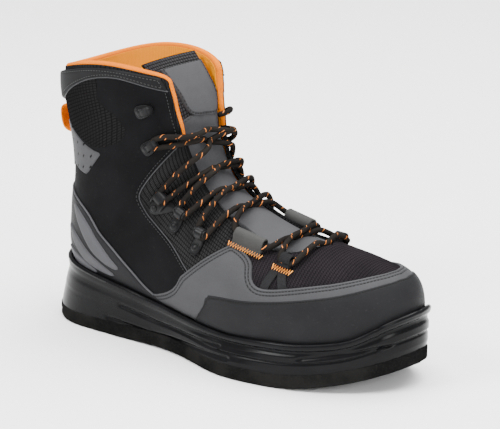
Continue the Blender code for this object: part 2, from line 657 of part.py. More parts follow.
def build_overlays(shell, surfaces):
    """Rand, forefoot overlay, shaft panel, counter with its fins, cuff and ankle patch."""
    lips = {side: shell.level_line(side, lambda row: GAP + OVERLAY_THICK, lambda x: lip_height(x) + LIP_CLEARANCE)
            for side in (-1, 1)}
    inset = 1.5 * SEAM_GIRTH

    def lip_girth(side, rows):
        """Girth of the lip's line, and the base line's behind the last row that it reaches."""
        line, girths = lips[side]
        return np.where(rows < line[-1], np.interp(rows, line, girths), 1.0)

    def bottom(side, start, end):
        """Corners along the midsole's lip from one row to a lower one."""
        rows, girths = lips[side]
        inside = (rows > end + .02) & (rows < start - .02)
        corners = [(end, float(np.interp(end, rows, girths)))] + list(zip(rows[inside], girths[inside]))
        if start < rows[-1]:
            corners.append((start, float(np.interp(start, rows, girths))))
        else:
            corners.append((float(rows[-1]), 1.0))
        return corners[::-1]

    def overlay(name, outline, height, thick, surface, sides=(-1, 1)):
        add_overlay(shell, name, {side: outline(side) for side in sides}, height, thick, surface)

    overlay("toe_rand", lambda side: list(RAND_TOP) + bottom(side, RAND_TOP[-1][0], 0),
            GAP, OVERLAY_THICK, surfaces["rand"])

    below_forefoot = [(row, girth - SEAM_GIRTH) for row, girth in RAND_TOP[2:]][::-1]

    def forefoot(side):
        edge = list(FOREFOOT_TOP) + bottom(side, FOREFOOT_END_ROW, RAND_TOP[-1][0] + .06)
        return edge + [(below_forefoot[0][0] + .06, below_forefoot[0][1])] + below_forefoot[1:] + [(2.25, 0)]

    overlay("forefoot_overlay", forefoot, FOREFOOT_GAP, OVERLAY_THICK, surfaces["overlay"])

    rear_of_forefoot = [(row + .08, girth - .002) for row, girth in FOREFOOT_TOP[-2:]]
    above_counter = [(row, girth - SEAM_GIRTH) for row, girth in COUNTER_TOP[1:-1]] + [(17.16, 1.0)]
    shaft = (throat_edge(SHAFT_TOP_ROW, QUARTER_EDGE[0][0] + .1, inset) + list(QUARTER_EDGE)
             + rear_of_forefoot + above_counter + [(SHAFT_TOP_ROW, 1.0)])
    overlay("shaft_panel", lambda side: shaft, GAP, OVERLAY_THICK, surfaces["panel"])
    overlay("heel_counter", lambda side: list(COUNTER_TOP) + bottom(side, LAST_ROW, COUNTER_END_ROW),
            GAP, OVERLAY_THICK, surfaces["counter"])
    for side, label in ((-1, "lateral"), (1, "medial")):
        for number, fin in enumerate(FINS, 1):
            rows = np.linspace(fin[0][0], fin[-1][0], 5)
            half = FIN_HALF_GIRTH * (.25 + .75 * np.sin(math.pi * np.linspace(0, 1, 5)))
            middle = np.minimum(along(fin, rows), lip_girth(side, rows) - half - FIN_CLEARANCE / GIRTH_LENGTH)
            outline = list(zip(rows, middle - half)) + list(zip(rows, middle + half))[::-1]
            overlay(f"counter_fin_{number}_{label}", lambda s: outline, OUTER_LAYER, FIN_THICK,
                    surfaces["fin"], (side,))
    overlay("ankle_patch", lambda side: list(ANKLE_PATCH), OUTER_LAYER, FIN_THICK, surfaces["overlay"])
    cuff = list(CUFF_EDGE) + [(CUFF_TOP_ROW, 1.0)] + throat_edge(CUFF_TOP_ROW, CUFF_EDGE[0][0], inset)
    overlay("collar_cuff", lambda side: cuff, GAP, OVERLAY_THICK, surfaces["cuff"])


def add_prism(name, loops, place, stations, surface):
    """Solid whose cross-section is an outline with an optional hole, carried along stations."""
    flat = [point for loop in loops for point in loop]
    count = len(flat)
    triangles = tessellate_polygon([[Vector((x, h, 0)) for x, h in loop] for loop in loops])
    points = [place(x, h, station) for station in stations for x, h in flat]
    last = (len(stations) - 1) * count
    faces = [list(t) for t in triangles] + [[n + last for n in t[::-1]] for t in triangles]
    for k in range(len(stations) - 1):
        start = 0
        for loop in loops:
            for n in range(len(loop)):
                a = start + n + k * count
                b = start + (n + 1) % len(loop) + k * count
                faces.append([a, b, b + count, a + count])
            start += len(loop)
    return add_object(name, points, faces, surface)


def arc(centre, radius, start, end, steps):
    angles = np.radians(np.linspace(start, end, steps + 1))
    return [(centre[0] + radius * math.cos(a), centre[1] + radius * math.sin(a)) for a in angles]


def eye_loops(hole, thick, tail):
    """Closed ring with a tail strap: outline and hole."""
    centre = (0.0, hole + thick)
    meet = 180 + math.degrees(math.asin(hole / (hole + thick)))
    under = [(-tail * share, 0.0) for share in (1, .75, .5, .25)]
    over = [(-tail * share, thick) for share in (.5, .75, 1)]
    return [under + arc(centre, hole + thick, -90, meet, 7) + over, arc(centre, hole, 0, 300, 5)]


def hook_loops(reach, thick, tail):
    """Open hook: a base plate whose throat end bends up and back over the lace."""
    centre = (0.0, reach)
    outline = [(-tail, 0.0)] + arc(centre, reach, -90, 110, 6)
    return [outline + arc(centre, reach - thick, 110, -90, 6) + [(-tail, thick)]]


def wrapped(shell, row, girth, side, seat):
    """Placing function: x runs to the throat and h off the surface, both in mm, and a station is
    a distance along the boot from the fitting's middle."""
    step = .02
    across = np.linalg.norm(shell.evaluate(row, girth + step, side)[0]
                            - shell.evaluate(row, girth - step, side)[0]) / (2 * step)
    lengthwise = np.linalg.norm(shell.evaluate(row + step, girth, side)[0]
                                - shell.evaluate(row - step, girth, side)[0]) / (2 * step)

    def place(x, h, station):
        return shell.raised(row + station / lengthwise, girth - x / across, side, h + seat)
    return place, lengthwise


def fittings():
    """Name, row, girth, seat height, kind and width of every lace fitting of one side."""
    made = [("low_loop", *LOW_LOOP, LOW_LOOP_SEAT, "webbing", LOW_LOOP_WIDTH),
            ("tunnel_loop", *TUNNEL, GAP, "tunnel", TUNNEL_LENGTH)]
    made += [(f"lace_guide_{n}", *spot, GAP, "guide", GUIDE_WIDTH) for n, spot in enumerate(GUIDES, 1)]
    made.append(("lock_hook", *LOCK_HOOK, GAP, "hook", LOCK_HOOK_WIDTH))
    made += [(f"speed_hook_{n}", *spot, OUTER_LAYER, "hook", HOOK_WIDTH) for n, spot in enumerate(SPEED_HOOKS, 1)]
    return made


def build_fittings(shell, surfaces):
    hole = LACE_DIAMETER / 2 + EYE_CLEARANCE
    profiles = {
        "hook": hook_loops(hole + HARDWARE_THICK, HARDWARE_THICK, HOOK_TAIL),
        "guide": eye_loops(hole, HARDWARE_THICK, GUIDE_TAIL),
        "webbing": eye_loops(hole, WEBBING_THICK, LOW_LOOP_TAIL),
        "tunnel": eye_loops(hole, WEBBING_THICK, TUNNEL_TAIL),
    }
    for side, label in ((-1, "lateral"), (1, "medial")):
        for name, row, girth, seat, kind, width in fittings():
            place = wrapped(shell, row, girth, side, seat)[0]
            count = {"tunnel": 4, "webbing": 3}.get(kind, 2)
            stations = np.linspace(-width / 2, width / 2, count)
            add_prism(f"{name}_{label}", profiles[kind], place, stations, surfaces[kind])


def build_pull_loop(shell, surface):
    """Webbing loop behind the collar, open to both sides."""
    step = .02
    rise = shell.evaluate(PULL_LOOP_ROW + step, 1, 1)[0] - shell.evaluate(PULL_LOOP_ROW - step, 1, 1)[0]
    lengthwise = np.linalg.norm(rise) / (2 * step)
    bend = (0, 3.0)
    outer = PULL_LOOP_REACH - bend[1]
    foot = PULL_LOOP_HALF - 2.2 * WEBBING_THICK
    outline = [(-PULL_LOOP_HALF, 0.0), (PULL_LOOP_HALF, 0.0)] + arc(bend, outer, 20, 160, 5)
    hole = [(-foot, WEBBING_THICK), (foot, WEBBING_THICK)] + arc(bend, outer - WEBBING_THICK, 20, 160, 5)

    def place(x, h, station):
        seat = shell.raised(PULL_LOOP_ROW + x / lengthwise, 1.0, 1, h + OUTER_LAYER)
        return seat + np.array([0, station, 0])

    add_prism("pull_loop", [outline, hole], place, (-PULL_LOOP_WIDTH / 2, PULL_LOOP_WIDTH / 2), surface)


def lace_height(rows, girths):
    """Height of the lace's middle over the virtual skin: over the throat it dips to the tongue."""
    edge = np.maximum(throat(rows), .1) * .8
    over = OUTER_LAYER + LACE_DIAMETER / 2 + LACE_CLEARANCE
    sink = along(TONGUE_SINK, rows)
    low = LACE_DIAMETER / 2 + LACE_CLEARANCE - (wall(rows) + TONGUE_GAP + sink)
    share = np.clip(girths / edge, 0, 1)
    return low + (over - low) * np.sin(math.pi / 2 * share) ** 2


def lace_points(start, end, steps):
    """Centre line between two (row, signed girth) spots, over the throat."""
    middle = abs(start[1]) / (abs(start[1]) + abs(end[1]))
    shares = np.interp(np.linspace(0, 1, steps + 1), (0, .5, 1), (0, middle, 1))
    rows = start[0] + (end[0] - start[0]) * shares
    signed = start[1] + (end[1] - start[1]) * shares
    girths = np.abs(signed)
    normals = skin_normals(rows, girths)
    height = lace_height(rows, girths)[:, None]
    lateral = skin(rows, girths, -1) + normals[-1] * height
    medial = skin(rows, girths, 1) + normals[1] * height
    return np.where(signed[:, None] < 0, lateral, medial)


def add_tube(name, path, radius, surface, sides=6):
    """Round tube along a path, with flat ends."""
    path = np.asarray(path)
    tangents = unit(np.gradient(path, axis=0))
    points = []
    reference = np.array([0.0, 0.0, 1.0])
    for centre, tangent in zip(path, tangents):
        first = unit(np.cross(tangent, reference))
        second = np.cross(first, tangent)
        reference = second
        for k in range(sides):
            angle = 2 * math.pi * (k + .5) / sides
            points.append(centre + radius * (math.cos(angle) * first + math.sin(angle) * second))
    faces = [list(range(sides))]
    faces.append([n + (len(path) - 1) * sides for n in range(sides)][::-1])
    for k in range(len(path) - 1):
        for n in range(sides):
            a = k * sides + n
            b = k * sides + (n + 1) % sides
            faces.append([a, b, b + sides, a + sides])
    return add_object(name, points, faces, surface)


def build_lace(shell, surface):
    """Runs of the lace between the fittings; two runs that cross are joined in one solid."""
    radius = LACE_DIAMETER / 2
    spots = []
    for _, row, girth, seat, kind, width in fittings():
        lengthwise = wrapped(shell, row, girth, -1, seat)[1]
        clearance = GAP if kind == "webbing" else LACE_CLEARANCE
        beside = (width / 2 + radius + clearance) / lengthwise
        spots.append(((row - beside, girth), (row + beside, girth)))

    def run(name, start, end, sign, steps):
        path = lace_points((start[0], sign * start[1]), (end[0], -sign * end[1]), steps)
        return add_tube(name, path, radius, surface)

    run("lace_bar_low", spots[0][0], spots[0][0], -1, LACE_STEPS)
    for number, (first, second) in enumerate(zip(spots[:5], spots[1:6]), 1):
        joined = run(f"lace_cross_{number}", first[1], second[0], -1, LACE_STEPS)
        cutter = run(f"lace_cross_{number}_second", first[1], second[0], 1, LACE_STEPS)
        cutter.hide_render = True
        cutter.display_type = "WIRE"
        union = joined.modifiers.new("join", "BOOLEAN")
        union.operation = "UNION"
        union.solver = "EXACT"
        union.object = cutter
    run("lace_bar_top", spots[5][1], spots[5][1], -1, LACE_STEPS)


def main():
    for old in list(bpy.data.objects):
        bpy.data.objects.remove(old, do_unlink=True)
    surfaces = {
        "felt": material("felt_black", (.012, .012, .012), .95),
        "midsole": material("rubber_black", (.018, .018, .02), .35),
        "insole": material("foam_orange", (.82, .32, .06), .8),
        "upper": material("mesh_black", (.02, .02, .022), .7),
        "tongue": material("textile_grey", (.13, .13, .14), .7),
        "rand": material("rubber_dark_grey", (.05, .05, .054), .5),
        "overlay": material("synthetic_grey", (.13, .13, .14), .55),
        "panel": material("synthetic_black", (.015, .015, .017), .55),
        "counter": material("rubber_grey", (.055, .055, .06), .5),
        "fin": material("rubber_mid_grey", (.1, .1, .11), .5),
        "cuff": material("synthetic_dark_grey", (.06, .06, .065), .55),
        "webbing": material("webbing_dark", (.03, .03, .033), .8),
        "tunnel": material("webbing_grey", (.1, .1, .1), .7),
        "guide": material("metal_black", (.02, .02, .022), .35, .6),
        "hook": material("hook_black", (.03, .03, .033), .3, .7),
        "pull": material("webbing_orange", (.9, .25, .05), .7),
        "lace": material("lace_black", (.02, .018, .017), .8),
    }
    shell = Shell()
    build_felt(shell, surfaces["felt"])
    build_midsole(shell, surfaces["midsole"])
    build_insole(shell, surfaces["insole"])
    build_upper(shell, surfaces["upper"])
    build_tongue(surfaces["tongue"])
    build_overlays(shell, surfaces)
    build_fittings(shell, surfaces)
    build_pull_loop(shell, surfaces["pull"])
    build_lace(shell, surfaces["lace"])


if __name__ == "__main__":
    main()
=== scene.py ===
"""Finish of the right wading boot: leather-like panels, mesh, lining, lace, rubber and felt.

Every piece lies on one form: the boot's skin, a function of a row (0 at the toe's tip, 21 at the
collar) and of a signed girth (0 on the front ridge, -1 and 1 on the base line, minus lateral).
Shape tables are in shares or millimetres, and meshes are made in metres.
"""
import math

import bmesh
import bpy
import numpy as np
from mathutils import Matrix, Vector
from mathutils.geometry import delaunay_2d_cdt


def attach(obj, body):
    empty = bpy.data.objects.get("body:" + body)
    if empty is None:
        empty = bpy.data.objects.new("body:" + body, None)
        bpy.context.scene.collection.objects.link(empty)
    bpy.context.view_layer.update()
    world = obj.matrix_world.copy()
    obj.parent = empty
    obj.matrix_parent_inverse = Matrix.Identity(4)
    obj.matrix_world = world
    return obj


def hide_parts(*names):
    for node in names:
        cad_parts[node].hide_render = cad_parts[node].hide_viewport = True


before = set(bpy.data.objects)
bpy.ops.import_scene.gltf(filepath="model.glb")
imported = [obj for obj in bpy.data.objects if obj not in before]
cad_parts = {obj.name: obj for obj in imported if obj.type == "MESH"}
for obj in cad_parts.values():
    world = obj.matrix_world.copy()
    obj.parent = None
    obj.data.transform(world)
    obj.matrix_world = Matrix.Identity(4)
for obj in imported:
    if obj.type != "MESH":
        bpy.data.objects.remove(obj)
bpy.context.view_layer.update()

bl_info = {
    "name": "Wading boot looks",
    "version": (1, 0, 0),
    "blender": (4, 5, 0),
    "location": "3D View > Sidebar > Boot",
    "description": "Builds the finish of a felt-soled wading boot over its solids",
    "category": "Add Mesh",
}

MM = 0.001

# Driving sizes of the form, in millimetres
LENGTH = 318.0
BALL_WIDTH = 118.0
SIDE_SHIFT = -0.95
INSTEP_HEIGHT = 116.0
SHAFT_HEIGHT = 165.0
FRONT_RISE = 77.0
COLLAR_CAMBER = 11.0
FELT_THICK = 10.5
HEEL_RISE = 20.0
FOREFOOT_RISE = 14.0
TOE_SPRING = 18.0
FOOTBED_SPRING = .85
ARCH_RISE = 1.2
HEEL_ROUND = 46.0
TOE_ROUND = 90.0
UPPER_TOE_ROUND = 80.0
TOE_POWER = 2.3
SOLE_POWER = 2.2
# Share of the length from the heel at which the toe spring starts
SPRING_START = .72
UPPER_WALL = 2.8
COLLAR_WALL = 6.0
TONGUE_THICK = 4.5
TONGUE_GAP = 1.3
LAST_ROW = 21
ROW_SPACING = 18.0
GIRTH_LENGTH = 130.0

SECTION_COLUMNS = ("ridge_x_of_length", "base_x_of_length", "ridge_of_instep", "ridge_of_front_rise",
                   "base_of_shaft", "lateral_of_ball", "medial_of_ball", "centre_of_ball",
                   "widest_share", "crown_power", "base_power")
SECTIONS = (
    (.483, .483, .427, 0, 0, .381, .364, .127, .34, 2.60, 5.0),
    (.479, .478, .496, 0, 0, .386, .369, .125, .34, 2.50, 5.0),
    (.461, .459, .582, 0, 0, .390, .373, .120, .34, 2.40, 5.0),
    (.425, .421, .638, 0, 0, .398, .381, .110, .34, 2.20, 5.0),
    (.368, .365, .677, 0, 0, .415, .390, .093, .34, 2.05, 5.0),
    (.305, .302, .707, 0, 0, .441, .398, .072, .34, 1.95, 5.0),
    (.239, .236, .741, 0, 0, .458, .398, .051, .34, 1.90, 5.0),
    (.173, .167, .784, 0, 0, .462, .386, .034, .34, 1.85, 5.0),
    (.110, .094, .845, 0, 0, .449, .369, .021, .34, 1.85, 5.0),
    (.053, .013, .918, 0, 0, .424, .347, .010, .34, 1.90, 5.0),
    (.013, -.079, 1.0, 0, 0, .390, .331, .004, .35, 1.95, 4.5),
    (-.016, -.176, 1.0, .136, 0, .364, .322, 0, .37, 2.00, 4.0),
    (-.031, -.277, 1.0, .279, 0, .352, .322, 0, .39, 2.10, 3.5),
    (-.041, -.365, 1.0, .409, 0, .347, .326, 0, .41, 2.20, 3.0),
    (-.047, -.431, 1.0, .526, .030, .347, .331, 0, .43, 2.30, 2.6),
    (-.050, -.462, 1.0, .630, .152, .347, .335, 0, .45, 2.40, 2.4),
    (-.053, -.462, 1.0, .721, .303, .347, .339, 0, .46, 2.40, 2.3),
    (-.057, -.450, 1.0, .799, .461, .347, .343, 0, .47, 2.40, 2.3),
    (-.057, -.450, 1.0, .864, .612, .352, .347, 0, .48, 2.40, 2.3),
    (-.060, -.464, 1.0, .916, .758, .360, .356, 0, .49, 2.40, 2.3),
    (-.063, -.478, 1.0, .961, .891, .369, .364, 0, .50, 2.40, 2.3),
    (-.069, -.476, 1.0, 1.0, 1.0, .369, .364, 0, .50, 2.40, 2.3),
)

# Throat edge: row, girth from the ridge line
THROAT = ((5.5, 0), (5.8, .09), (6.2, .165), (7.0, .19), (8.4, .173), (10.0, .168), (12.0, .172),
          (14.0, .185), (15.3, .195), (17.8, .225), (20.0, .233), (21.0, .222))
THROAT_CORNER_ROW = 20.1

# Sole: half widths and centre line at equal steps from heel to toe, as shares of the ball width
SOLE = (
    (.364, .364, 0), (.364, .364, 0), (.364, .361, 0), (.363, .342, 0), (.367, .322, 0),
    (.424, .350, .003), (.501, .414, .014), (.504, .463, .032), (.476, .455, .060),
    (.442, .428, .097), (.406, .395, .137),
)
# Height of the midsole's lip over the felt: share of the length from the heel, height
LIP = ((0, 39), (.03, 39), (.115, 36), (.205, 32), (.28, 29), (.35, 24.5), (.45, 21.5), (.61, 18.5),
       (.66, 20), (.735, 22.5), (.80, 22), (.895, 21), (.93, 23.5), (.965, 29), (1, 30))

# Soft troughs (minus) and ridges of the worn-in upper: ends as (row, girth), height, half width
CREASES = (
    ((12.2, .20), (13.1, .46), -1.1, 8.0), ((13.5, .24), (14.1, .50), .7, 8.0),
    ((6.9, .24), (7.5, .42), -.7, 7.0), ((7.9, .26), (8.5, .44), .5, 7.0),
    ((15.6, .72), (15.9, 1.0), -.8, 9.0), ((10.6, .36), (11.4, .55), -.6, 9.0),
    ((17.6, .30), (18.6, .62), -.6, 12.0), ((3.6, .10), (4.4, .26), -.4, 8.0),
)


def spline(table, position):
    """Natural cubic spline through the rows of a table; position counts rows."""
    rows = np.asarray(table, float)
    count = len(rows)
    matrix = np.eye(count)
    right = np.zeros_like(rows)
    for i in range(1, count - 1):
        matrix[i, i - 1:i + 2] = (1, 4, 1)
        right[i] = 6 * (rows[i + 1] - 2 * rows[i] + rows[i - 1])
    bend = np.linalg.solve(matrix, right)
    position = np.clip(np.asarray(position, float), 0, count - 1)
    i = np.minimum(position.astype(int), count - 2)
    t = (position - i)[..., None]
    straight = (1 - t) * rows[i] + t * rows[i + 1]
    return straight + ((1 - t) ** 3 - (1 - t)) * bend[i] / 6 + (t ** 3 - t) * bend[i + 1] / 6


def smooth(value):
    """3 v squared minus 2 v cubed, with v kept between 0 and 1."""
    value = np.clip(value, 0, 1)
    return value * value * (3 - 2 * value)


def along(points, position, soften=0.0):
    """Interpolation through (position, value) pairs, averaged over a window of half width soften."""
    places, values = np.array(points, float).T
    if not soften:
        return np.interp(position, places, values)
    shifts = np.linspace(-soften, soften, 7)
    return np.mean([np.interp(np.asarray(position) + s, places, values) for s in shifts], axis=0)


def unit(vector):
    """Vectors divided by their lengths."""
    return vector / np.maximum(np.linalg.norm(vector, axis=-1, keepdims=True), 1e-9)


def sole_share(x):
    """Share of the boot's length from the heel."""
    return np.clip((x + LENGTH / 2) / LENGTH, 0, 1)


def toe_spring(x):
    """Rise of the toe: squared share of the way from where the spring starts to the toe's end."""
    return TOE_SPRING * np.clip((sole_share(x) - SPRING_START) / (1 - SPRING_START), 0, 1) ** 2


def sole_lift(x):
    """Height of the sole's lower side over the ground from toe spring and arch."""
    share = sole_share(x)
    return toe_spring(x) + ARCH_RISE * np.sin(math.pi * np.clip((share - .22) / .36, 0, 1)) ** 2


def footbed(x):
    """Height of the footbed: it falls from heel to forefoot and follows the toe spring."""
    share = sole_share(x)
    rise = HEEL_RISE + (FOREFOOT_RISE - HEEL_RISE) * smooth((share - .3) / .35)
    return FELT_THICK + rise + FOOTBED_SPRING * toe_spring(x)


def lip_height(x):
    """Height of the midsole's lip over the ground."""
    return sole_lift(x) + FELT_THICK + along(LIP, sole_share(x), .02)


def sole_edge(x, side):
    """Y of the sole's outline at x; side is -1 lateral, +1 medial."""
    lateral, medial, centre = (spline(SOLE, sole_share(x) * (len(SOLE) - 1)) * BALL_WIDTH).T
    half = np.where(side < 0, lateral, medial)
    for depth in ((x + LENGTH / 2) / HEEL_ROUND, (LENGTH / 2 - x) / TOE_ROUND):
        half = half * (1 - (1 - np.clip(depth, 0, 1)) ** SOLE_POWER) ** (1 / SOLE_POWER)
    return SIDE_SHIFT + centre + side * half


def skin(row, girth):
    """Point of the form. Each section is a superellipse whose widest place, crown and base powers
    change from row to row. Rows below 0 turn over the toe's tip to the other side."""
    row, girth = np.broadcast_arrays(np.asarray(row, float), np.asarray(girth, float))
    girth = (np.where(row < 0, -girth, girth) + 1) % 2 - 1
    row = np.abs(row)
    side = np.where(girth < 0, -1, 1)
    girth = np.abs(girth)
    column = dict(zip(SECTION_COLUMNS, np.moveaxis(spline(SECTIONS, row), -1, 0)))
    ridge_x = LENGTH * column["ridge_x_of_length"]
    base_x = LENGTH * column["base_x_of_length"]
    ridge_z = FELT_THICK + INSTEP_HEIGHT * column["ridge_of_instep"]
    ridge_z = ridge_z + FRONT_RISE * column["ridge_of_front_rise"]
    base_z = footbed(base_x) + SHAFT_HEIGHT * column["base_of_shaft"]
    half = BALL_WIDTH * np.where(side < 0, column["lateral_of_ball"], column["medial_of_ball"])
    depth = (LENGTH * SECTIONS[0][0] - (ridge_x + base_x) / 2) / UPPER_TOE_ROUND
    half = half * (1 - (1 - np.clip(depth, 0, 1)) ** TOE_POWER) ** (1 / TOE_POWER)
    angle = girth * math.pi
    power = np.where(girth <= .5, column["crown_power"], column["base_power"])
    widest = column["widest_share"]
    lift = np.abs(np.cos(angle)) ** (2 / power)
    share = np.where(girth <= .5, widest + (1 - widest) * lift, widest * (1 - lift))
    camber = COLLAR_CAMBER * smooth((row - LAST_ROW + 5) / 5) * np.sin(math.pi * share)
    across = np.where(girth < 1, np.abs(np.sin(angle)), 0) ** (2 / power)
    y = SIDE_SHIFT + BALL_WIDTH * column["centre_of_ball"] + side * half * across
    x = base_x + share * (ridge_x - base_x)
    z = base_z + share * (ridge_z - base_z) + camber
    return np.stack([x, y, z], -1)


def skin_normal(row, girth):
    """Unit normal of the form from central differences."""
    around = skin(row, girth + .008) - skin(row, girth - .008)
    lengthwise = skin(row + .05, girth) - skin(row - .05, girth)
    return unit(np.cross(around, lengthwise))


def creases(row, girth):
    """Sum over the creases of height times the bell curve of the distance to its line."""
    girth = np.abs((girth + 1) % 2 - 1)
    place = np.stack([row * ROW_SPACING, girth * GIRTH_LENGTH], -1)
    total = np.zeros(place.shape[:-1])
    for start, end, height, width in CREASES:
        a = np.array(start) * (ROW_SPACING, GIRTH_LENGTH)
        run = np.array(end) * (ROW_SPACING, GIRTH_LENGTH) - a
        share = np.clip(((place - a) @ run) / (run @ run), 0, 1)[..., None]
        total += height * np.exp(-np.sum((place - a - share * run) ** 2, -1) / width ** 2)
    return total


def shell(row, girth, height):
    """Point at a height over the creased form."""
    row, girth = np.broadcast_arrays(np.asarray(row, float), np.asarray(girth, float))
    return skin(row, girth) + skin_normal(row, girth) * (np.asarray(height) + creases(row, girth))[..., None]


def wall(row):
    """Thickness of the upper's wall, which grows toward the collar."""
    return UPPER_WALL + (COLLAR_WALL - UPPER_WALL) * smooth((np.asarray(row) - 12) / 5)


def throat_edge(row):
    """Girth of the throat's edge, which is 0 in front of the throat."""
    return np.where(row > THROAT[0][0], along(THROAT, row, .25), 0)


def throat(row):
    """Girth of the throat's edge, with its corner rounded at the collar."""
    row = np.asarray(row, float)
    corner = np.clip((row - THROAT_CORNER_ROW) / .9, 0, 1)
    return throat_edge(row) + .06 * (1 - np.sqrt(1 - corner ** 2)) * (row > THROAT_CORNER_ROW)


def lip_line(rows, height):
    """Girth at which the form, moved out by height, meets the midsole's lip, for each row. Rows
    behind the heel, where it never does, get 1."""
    samples = np.linspace(.25, 1, 400)
    found = {}
    for side in (-1, 1):
        points = shell(rows[:, None], side * samples[None, :], height)
        over = points[..., 2] - lip_height(points[..., 0])
        below = np.argmax(over < 0, axis=1)
        below = np.where((over < 0).any(axis=1), np.maximum(below, 1), len(samples) - 1)
        pick = np.arange(len(rows))
        high, low = over[pick, below - 1], over[pick, below]
        part = np.clip(high / np.where(np.abs(high - low) < 1e-9, 1, high - low), 0, 1)
        girth = samples[below - 1] + part * (samples[1] - samples[0])
        found[side] = np.where((over < 0).any(axis=1), girth, 1.0)
    return found


def heel_row(height):
    """Row at which the lip passes behind the heel."""
    low, high = 13.0, 17.0
    for _ in range(30):
        middle = (low + high) / 2
        point = shell(middle, 1.0, height)
        low, high = (middle, high) if point[2] < lip_height(point[0]) else (low, middle)
    return (low + high) / 2


# Meshes

# Decimals of a millimetre to which two points agree when they are one
WELD_DECIMALS = 3
# Depth of a panel's back under the form, and radius of a tape's corners
PANEL_SUNK = .25
TAPE_CORNER = .35
LATHE_SIDES = 24


def weld(points):
    """Number of each point's place, equal for points that are one."""
    return np.unique(np.round(points, WELD_DECIMALS), axis=0, return_inverse=True)[1].ravel()


def grid_faces(rows, columns):
    """Quads of a grid whose points are listed row by row."""
    corner = (np.arange(rows - 1)[:, None] * columns + np.arange(columns - 1)[None, :]).ravel()
    return np.stack([corner, corner + 1, corner + columns + 1, corner + columns], 1)


def run_lengths(grid):
    """Distance along each row and each column of a grid of points, in millimetres."""
    across = np.zeros(grid.shape[:2])
    across[:, 1:] = np.cumsum(np.linalg.norm(np.diff(grid, axis=1), axis=-1), 1)
    down = np.zeros(grid.shape[:2])
    down[1:] = np.cumsum(np.linalg.norm(np.diff(grid, axis=0), axis=-1), 0)
    return across, down


def grid_uv(grid):
    """Map in millimetres: u is the mean length down the rows, v the length across from the middle."""
    across, down = run_lengths(grid)
    across = across - across[:, across.shape[1] // 2, None]
    return np.stack([np.repeat(down.mean(1)[:, None], grid.shape[1], 1), across], -1).reshape(-1, 2)


def closed_between(front, back, faces):
    """Points and faces of the solid between two matching surfaces; edges that only one face has are
    walled. Coinciding points count as one when the free edges are found."""
    count = len(front)
    same = weld(front).astype(np.int64)
    starts, ends = faces.ravel(), np.roll(faces, -1, axis=1).ravel()
    solid = same[starts] != same[ends]
    starts, ends = starts[solid], ends[solid]
    free = ~np.isin(same[starts] * count + same[ends], same[ends] * count + same[starts])
    walls = np.stack([ends[free], starts[free], starts[free] + count, ends[free] + count], 1)
    return np.vstack([front, back]), [faces, faces[:, ::-1] + count, walls]


def add_piece(name, points, face_groups, surface, uv=None, seam=None, slot=None, replaces=(), sharp=40):
    """Object from points in millimetres, its maps given for each point. Doubles are merged and the
    faces of a closed mesh are turned outwards."""
    mesh = bpy.data.meshes.new(name)
    faces = [face for group in face_groups for face in group.tolist()]
    mesh.from_pydata((np.asarray(points) * MM).tolist(), [], faces)
    corners = np.zeros(len(mesh.loops), np.int32)
    mesh.loops.foreach_get("vertex_index", corners)
    for label, values in (("UVMap", uv), ("Seam", seam)):
        layer = mesh.uv_layers.new(name=label)
        if values is not None:
            layer.data.foreach_set("uv", np.asarray(values, np.float32)[corners].ravel())
    mesh.uv_layers["UVMap"].active_render = True
    shape = bmesh.new()
    shape.from_mesh(mesh)
    bmesh.ops.remove_doubles(shape, verts=shape.verts, dist=2e-6)
    bmesh.ops.dissolve_degenerate(shape, edges=shape.edges, dist=1e-6)
    bmesh.ops.recalc_face_normals(shape, faces=shape.faces)
    if shape.calc_volume(signed=True) < 0:
        bmesh.ops.reverse_faces(shape, faces=shape.faces)
    shape.to_mesh(mesh)
    shape.free()
    mesh.materials.append(surface)
    mesh.shade_smooth()
    mesh.set_sharp_from_angle(angle=math.radians(sharp))
    piece = bpy.data.objects.new(name, mesh)
    bpy.context.scene.collection.objects.link(piece)
    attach(piece, "root")
    if replaces:
        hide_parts(*replaces)
    return piece


def add_grid(name, grid, surface, **settings):
    """Piece from one closed grid of points."""
    return add_piece(name, grid.reshape(-1, 3), [grid_faces(*grid.shape[:2])], surface, grid_uv(grid),
                     **settings)


def add_slab(name, front, back, surface, seam=None, uv=None, **settings):
    """Piece between two matching grids of points."""
    faces = grid_faces(*front.shape[:2])
    points, groups = closed_between(front.reshape(-1, 3), back.reshape(-1, 3), faces)
    uv = grid_uv(front) if uv is None else uv.reshape(-1, 2)
    double = None if seam is None else np.vstack([seam.reshape(-1, 2)] * 2)
    return add_piece(name, points, groups, surface, np.vstack([uv, uv]), double, **settings)


def rounded(corners, cuts=3, closed=False):
    """Corner cutting: each pass replaces a corner by points at a quarter of its two edges."""
    line = np.array(corners, float)
    for _ in range(cuts):
        after = np.roll(line, -1, axis=0) if closed else line[1:]
        before = line if closed else line[:-1]
        cut = np.stack([.75 * before + .25 * after, .25 * before + .75 * after], 1).reshape(-1, 2)
        line = cut if closed else np.vstack([line[:1], cut, line[-1:]])
    return line


def evenly(line, spacing):
    """The line's points again, at even distances in the (row, girth) plane's millimetres."""
    scaled = line * (ROW_SPACING, GIRTH_LENGTH)
    length = np.concatenate([[0], np.cumsum(np.linalg.norm(np.diff(scaled, axis=0), axis=1))])
    count = max(2, int(round(length[-1] / spacing)) + 1)
    places = np.linspace(0, length[-1], count)
    return np.stack([np.interp(places, length, line[:, k]) for k in (0, 1)], -1)


